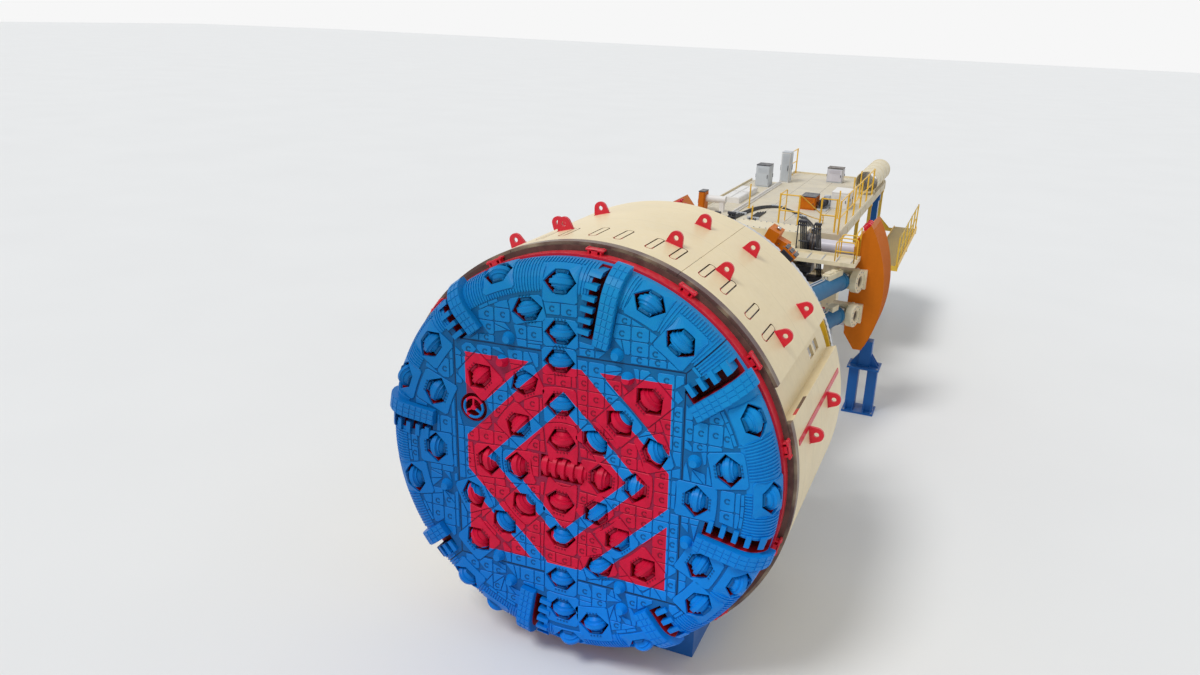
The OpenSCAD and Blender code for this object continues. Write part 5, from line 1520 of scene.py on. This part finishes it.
def deck_curve(d):
    """The path of a loose-looking line over the deck, shifted by d from the first one."""
    return [(-1.85 + d, 16.5), (-1.70 + d, 17.9), (-1.44 + d, 19.2 - d), (-0.95 + d, 19.75 - d),
            (-0.40 + d, 19.45 - d), (0.20 + d, 18.5), (0.80 + d, 17.2), (1.02 + d, 16.25)]


def build_deck_hoses():
    """Hoses over the deck and down its front, their clamps, and the pipes under it."""
    y = DECK_FRONT
    lines = [tube(np.c_[smooth_path(deck_curve(0.085 * k), 48), np.full(48, 1.434)], radius, 8)
             for k, radius in enumerate((0.031, 0.031, 0.026))]
    lines += [pipe([(x, 16.35, 1.44), (x, y + 0.02, 1.44), (x, y, 0.62)], 0.028, 0.09)
              for x in 1.02 + 0.07 * np.arange(5)]
    lines += [pipe([(-1.2 + 0.07 * k, 18.2 + 0.1 * k, 1.43), (-1.2 + 0.07 * k, y + 0.02, 1.43),
                    (-1.2 + 0.07 * k, y, 0.7)], 0.025, 0.09) for k in range(4)]
    clips = [box_at(x, y, DECK_Z, 0.22, 0.025, 0.092) for x, y in (
        (-1.70, 17.6), (-0.85, 19.72), (0.35, 18.3), (1.16, 16.28), (-1.09, 17.0), (-1.09, 16.2))]
    clips += [block((x1, 15.955, z), (x2, 16.10, z + 0.05)) for z in (0.72, 1.15)
              for x1, x2 in ((0.96, 1.36), (-1.26, -0.94))]
    under = [pipe([(x, 16.4, z), (x, 28.4, z)], r) for x, z, r in (
        (0.9, 1.14, 0.05), (1.05, 1.16, 0.04), (1.5, 1.12, 0.06), (-1.2, 1.15, 0.05), (-1.4, 1.15, 0.05))]
    dress("deck_hoses", lines, "hose", smooth=True)
    dress("hose_clamps", clips, "grey")
    dress("deck_under_pipes", under, "hose", smooth=True)


def build_under_deck():
    """Units hung under the deck."""
    units = [block((1.10, 16.35, 0.30), (1.85, 17.20, 1.06), 0.03),
             block((-0.45, 16.25, 0.83), (0.45, 16.95, 1.10), 0.02),
             block((1.15, 18.0, 0.35), (1.80, 19.1, 1.06), 0.03),
             block((-1.75, 17.2, 0.4), (-1.05, 18.6, 1.06), 0.03)]
    units += [block((x, y, 1.02), (x + 0.08, y + 0.08, 1.12))
              for x in (1.2, 1.7) for y in (16.5, 17.0, 18.2, 18.9)]
    dress("under_deck_units", units, "dark")


def build_duct():
    """Bands and end bolts of the air duct."""
    x, z = 1.73, 1.91
    band = washer(0.446, 0.462, 0, 0.06, 0.005, 56)
    bands = [along(band, (x, y, z), BACKWARDS) for y in (24.60, 25.55, 26.50, 27.45, 28.40, 28.70)]
    dress("duct_bands", bands, "beam")
    dress("duct_bolts", bolt_circle((x, 24.58, z), FORWARDS, 0.4435, 24, 0.010, 0.010), "bolt")


def build_walkways():
    """Toe boards, cross bars and brackets of the walkways."""
    boards = [block((3.672, 21.1, -0.70), (3.702, 28.78, -0.49), 0.006),
              block((2.698, 21.1, -0.70), (2.728, 28.78, -0.55), 0.006)]
    bars = [block((2.73, y - 0.02, -0.71), (3.67, y + 0.02, -0.655), 0.005)
            for y in np.linspace(21.3, 28.6, 13)]
    feet = []
    cheek = prism([[2.04, -0.80], [2.50, -0.66], [2.04, -0.20]], 0, 0.012)
    for y in (21.1, 24.7, 28.58):
        feet.append(block((1.90, y - 0.03, 0.92), (2.06, y + 0.15, 1.075), 0.01))
        feet += [upright(cheek, (0, y + s, 0)) for s in (-0.012, 0.132)]
    feet += [block((3.59, y - 0.05, -0.602), (3.69, y + 0.05, -0.588), 0.004)
             for y in np.linspace(21.15, 28.73, 6)]
    dress("walkway_toe_boards", both(boards), "yellow")
    dress("walkway_bars", both(bars), "yellow")
    dress("walkway_brackets", both(feet), "yellow")


def build_stands():
    """Stiffeners and bolts of the stands under the shoes and the deck."""
    foot, head = STAND_FOOT_Z, -2.75
    ribs = [gusset(x + d, y, foot, 0.18, 0.32, q) for x in (3.22, 3.82) for y, q in ((15.3, 3), (15.7, 1))
            for d in (-0.12, 0.12)]
    ribs += [gusset(x, y, head, 0.28, 0.40, q) for x, q in ((3.33, 2), (3.71, 0)) for y in (15.40, 15.60)]
    ribs += [gusset(x, y, foot, 0.30, 0.45, q) for y, q in ((27.13, 3), (27.43, 1)) for x in (1.78, 1.98)]
    places = [(x, y, foot) for x in (3.07, 3.97) for y in (15.15, 15.5, 15.85)]
    heads = bolts_at(places, UPWARDS, 0.032, 0.028)
    heads += bolts_at([(x, y, head) for x in (3.07, 3.97) for y in (15.15, 15.85)], UPWARDS, 0.028, 0.024)
    heads += bolts_at([(x, y, foot) for x in (1.56, 2.20) for y in (26.86, 27.70)], UPWARDS, 0.035, 0.03)
    dress("stand_gussets", both(ribs), "blue")
    dress("stand_bolts", both(heads), "bolt")


# light and stage

FLOOR_HALF, FLOOR_GREY, SKY, SEEN = 400.0, (0.80, 0.80, 0.79), (0.93, 0.96, 1.0, 1), (0.93, 0.93, 0.93, 1)
SKY_LIGHT, SUN_LIGHT, SUN_WIDTH, SUN_TOWARDS = 0.62, 1.6, math.radians(18), (0.28, 0.50, -0.82)


def build_floor():
    """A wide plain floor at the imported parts' lowest point."""
    mesh = bpy.data.meshes.new("floor")
    corners = rectangle(-FLOOR_HALF, -FLOOR_HALF, FLOOR_HALF, FLOOR_HALF)
    mesh.from_pydata(np.c_[corners, np.full(4, -0.001)].tolist(), [], [(0, 1, 2, 3)])
    made = bpy.data.objects.new("floor", mesh)
    made.data.materials.append(plain_stage("stage_floor", FLOOR_GREY).material)
    made.location.z = PACKED_BOX[0][2]
    bpy.context.scene.collection.objects.link(made)


def build_light():
    """Soft light from a pale sky, which the camera and mirrors see as plain grey, and one high window."""
    world = bpy.data.worlds.new("studio")
    bpy.context.scene.world = world
    world.use_nodes = True
    nodes, links = world.node_tree.nodes, world.node_tree.links
    nodes.clear()
    soft, seen = nodes.new("ShaderNodeBackground"), nodes.new("ShaderNodeBackground")
    for shader, colour, strength in ((soft, SKY, SKY_LIGHT), (seen, SEEN, 1.0)):
        shader.inputs[0].default_value = colour
        shader.inputs[1].default_value = strength
    rays, either = nodes.new("ShaderNodeLightPath"), nodes.new("ShaderNodeMath")
    either.operation = "MAXIMUM"
    links.new(rays.outputs["Is Camera Ray"], either.inputs[0])
    links.new(rays.outputs["Is Glossy Ray"], either.inputs[1])
    mix = nodes.new("ShaderNodeMixShader")
    for k, source in enumerate((either, soft, seen)):
        links.new(source.outputs[0], mix.inputs[k])
    links.new(mix.outputs[0], nodes.new("ShaderNodeOutputWorld").inputs[0])
    sun = bpy.data.lights.new("high_window", "SUN")
    sun.energy, sun.angle = SUN_LIGHT, SUN_WIDTH
    lamp = bpy.data.objects.new("high_window", sun)
    lamp.rotation_euler = Vector(SUN_TOWARDS).to_track_quat("-Z", "Y").to_euler()
    bpy.context.scene.collection.objects.link(lamp)
    bpy.context.scene.view_settings.view_transform = "Standard"


make_camera()
build_floor()
build_light()
paint_nodes()
for build in (build_face_plates, build_cutters, build_gauge_bars, build_edge_strip, build_bucket_plates,
              build_shield, build_drive, build_beam, build_erector, build_drills, build_thrust, build_shoes,
              build_carriage, build_carriage_hoses, build_legs, build_conveyor, build_boxes, build_pump,
              build_deck, build_deck_rails, build_deck_hoses, build_under_deck, build_duct, build_walkways,
              build_stands):
    build()
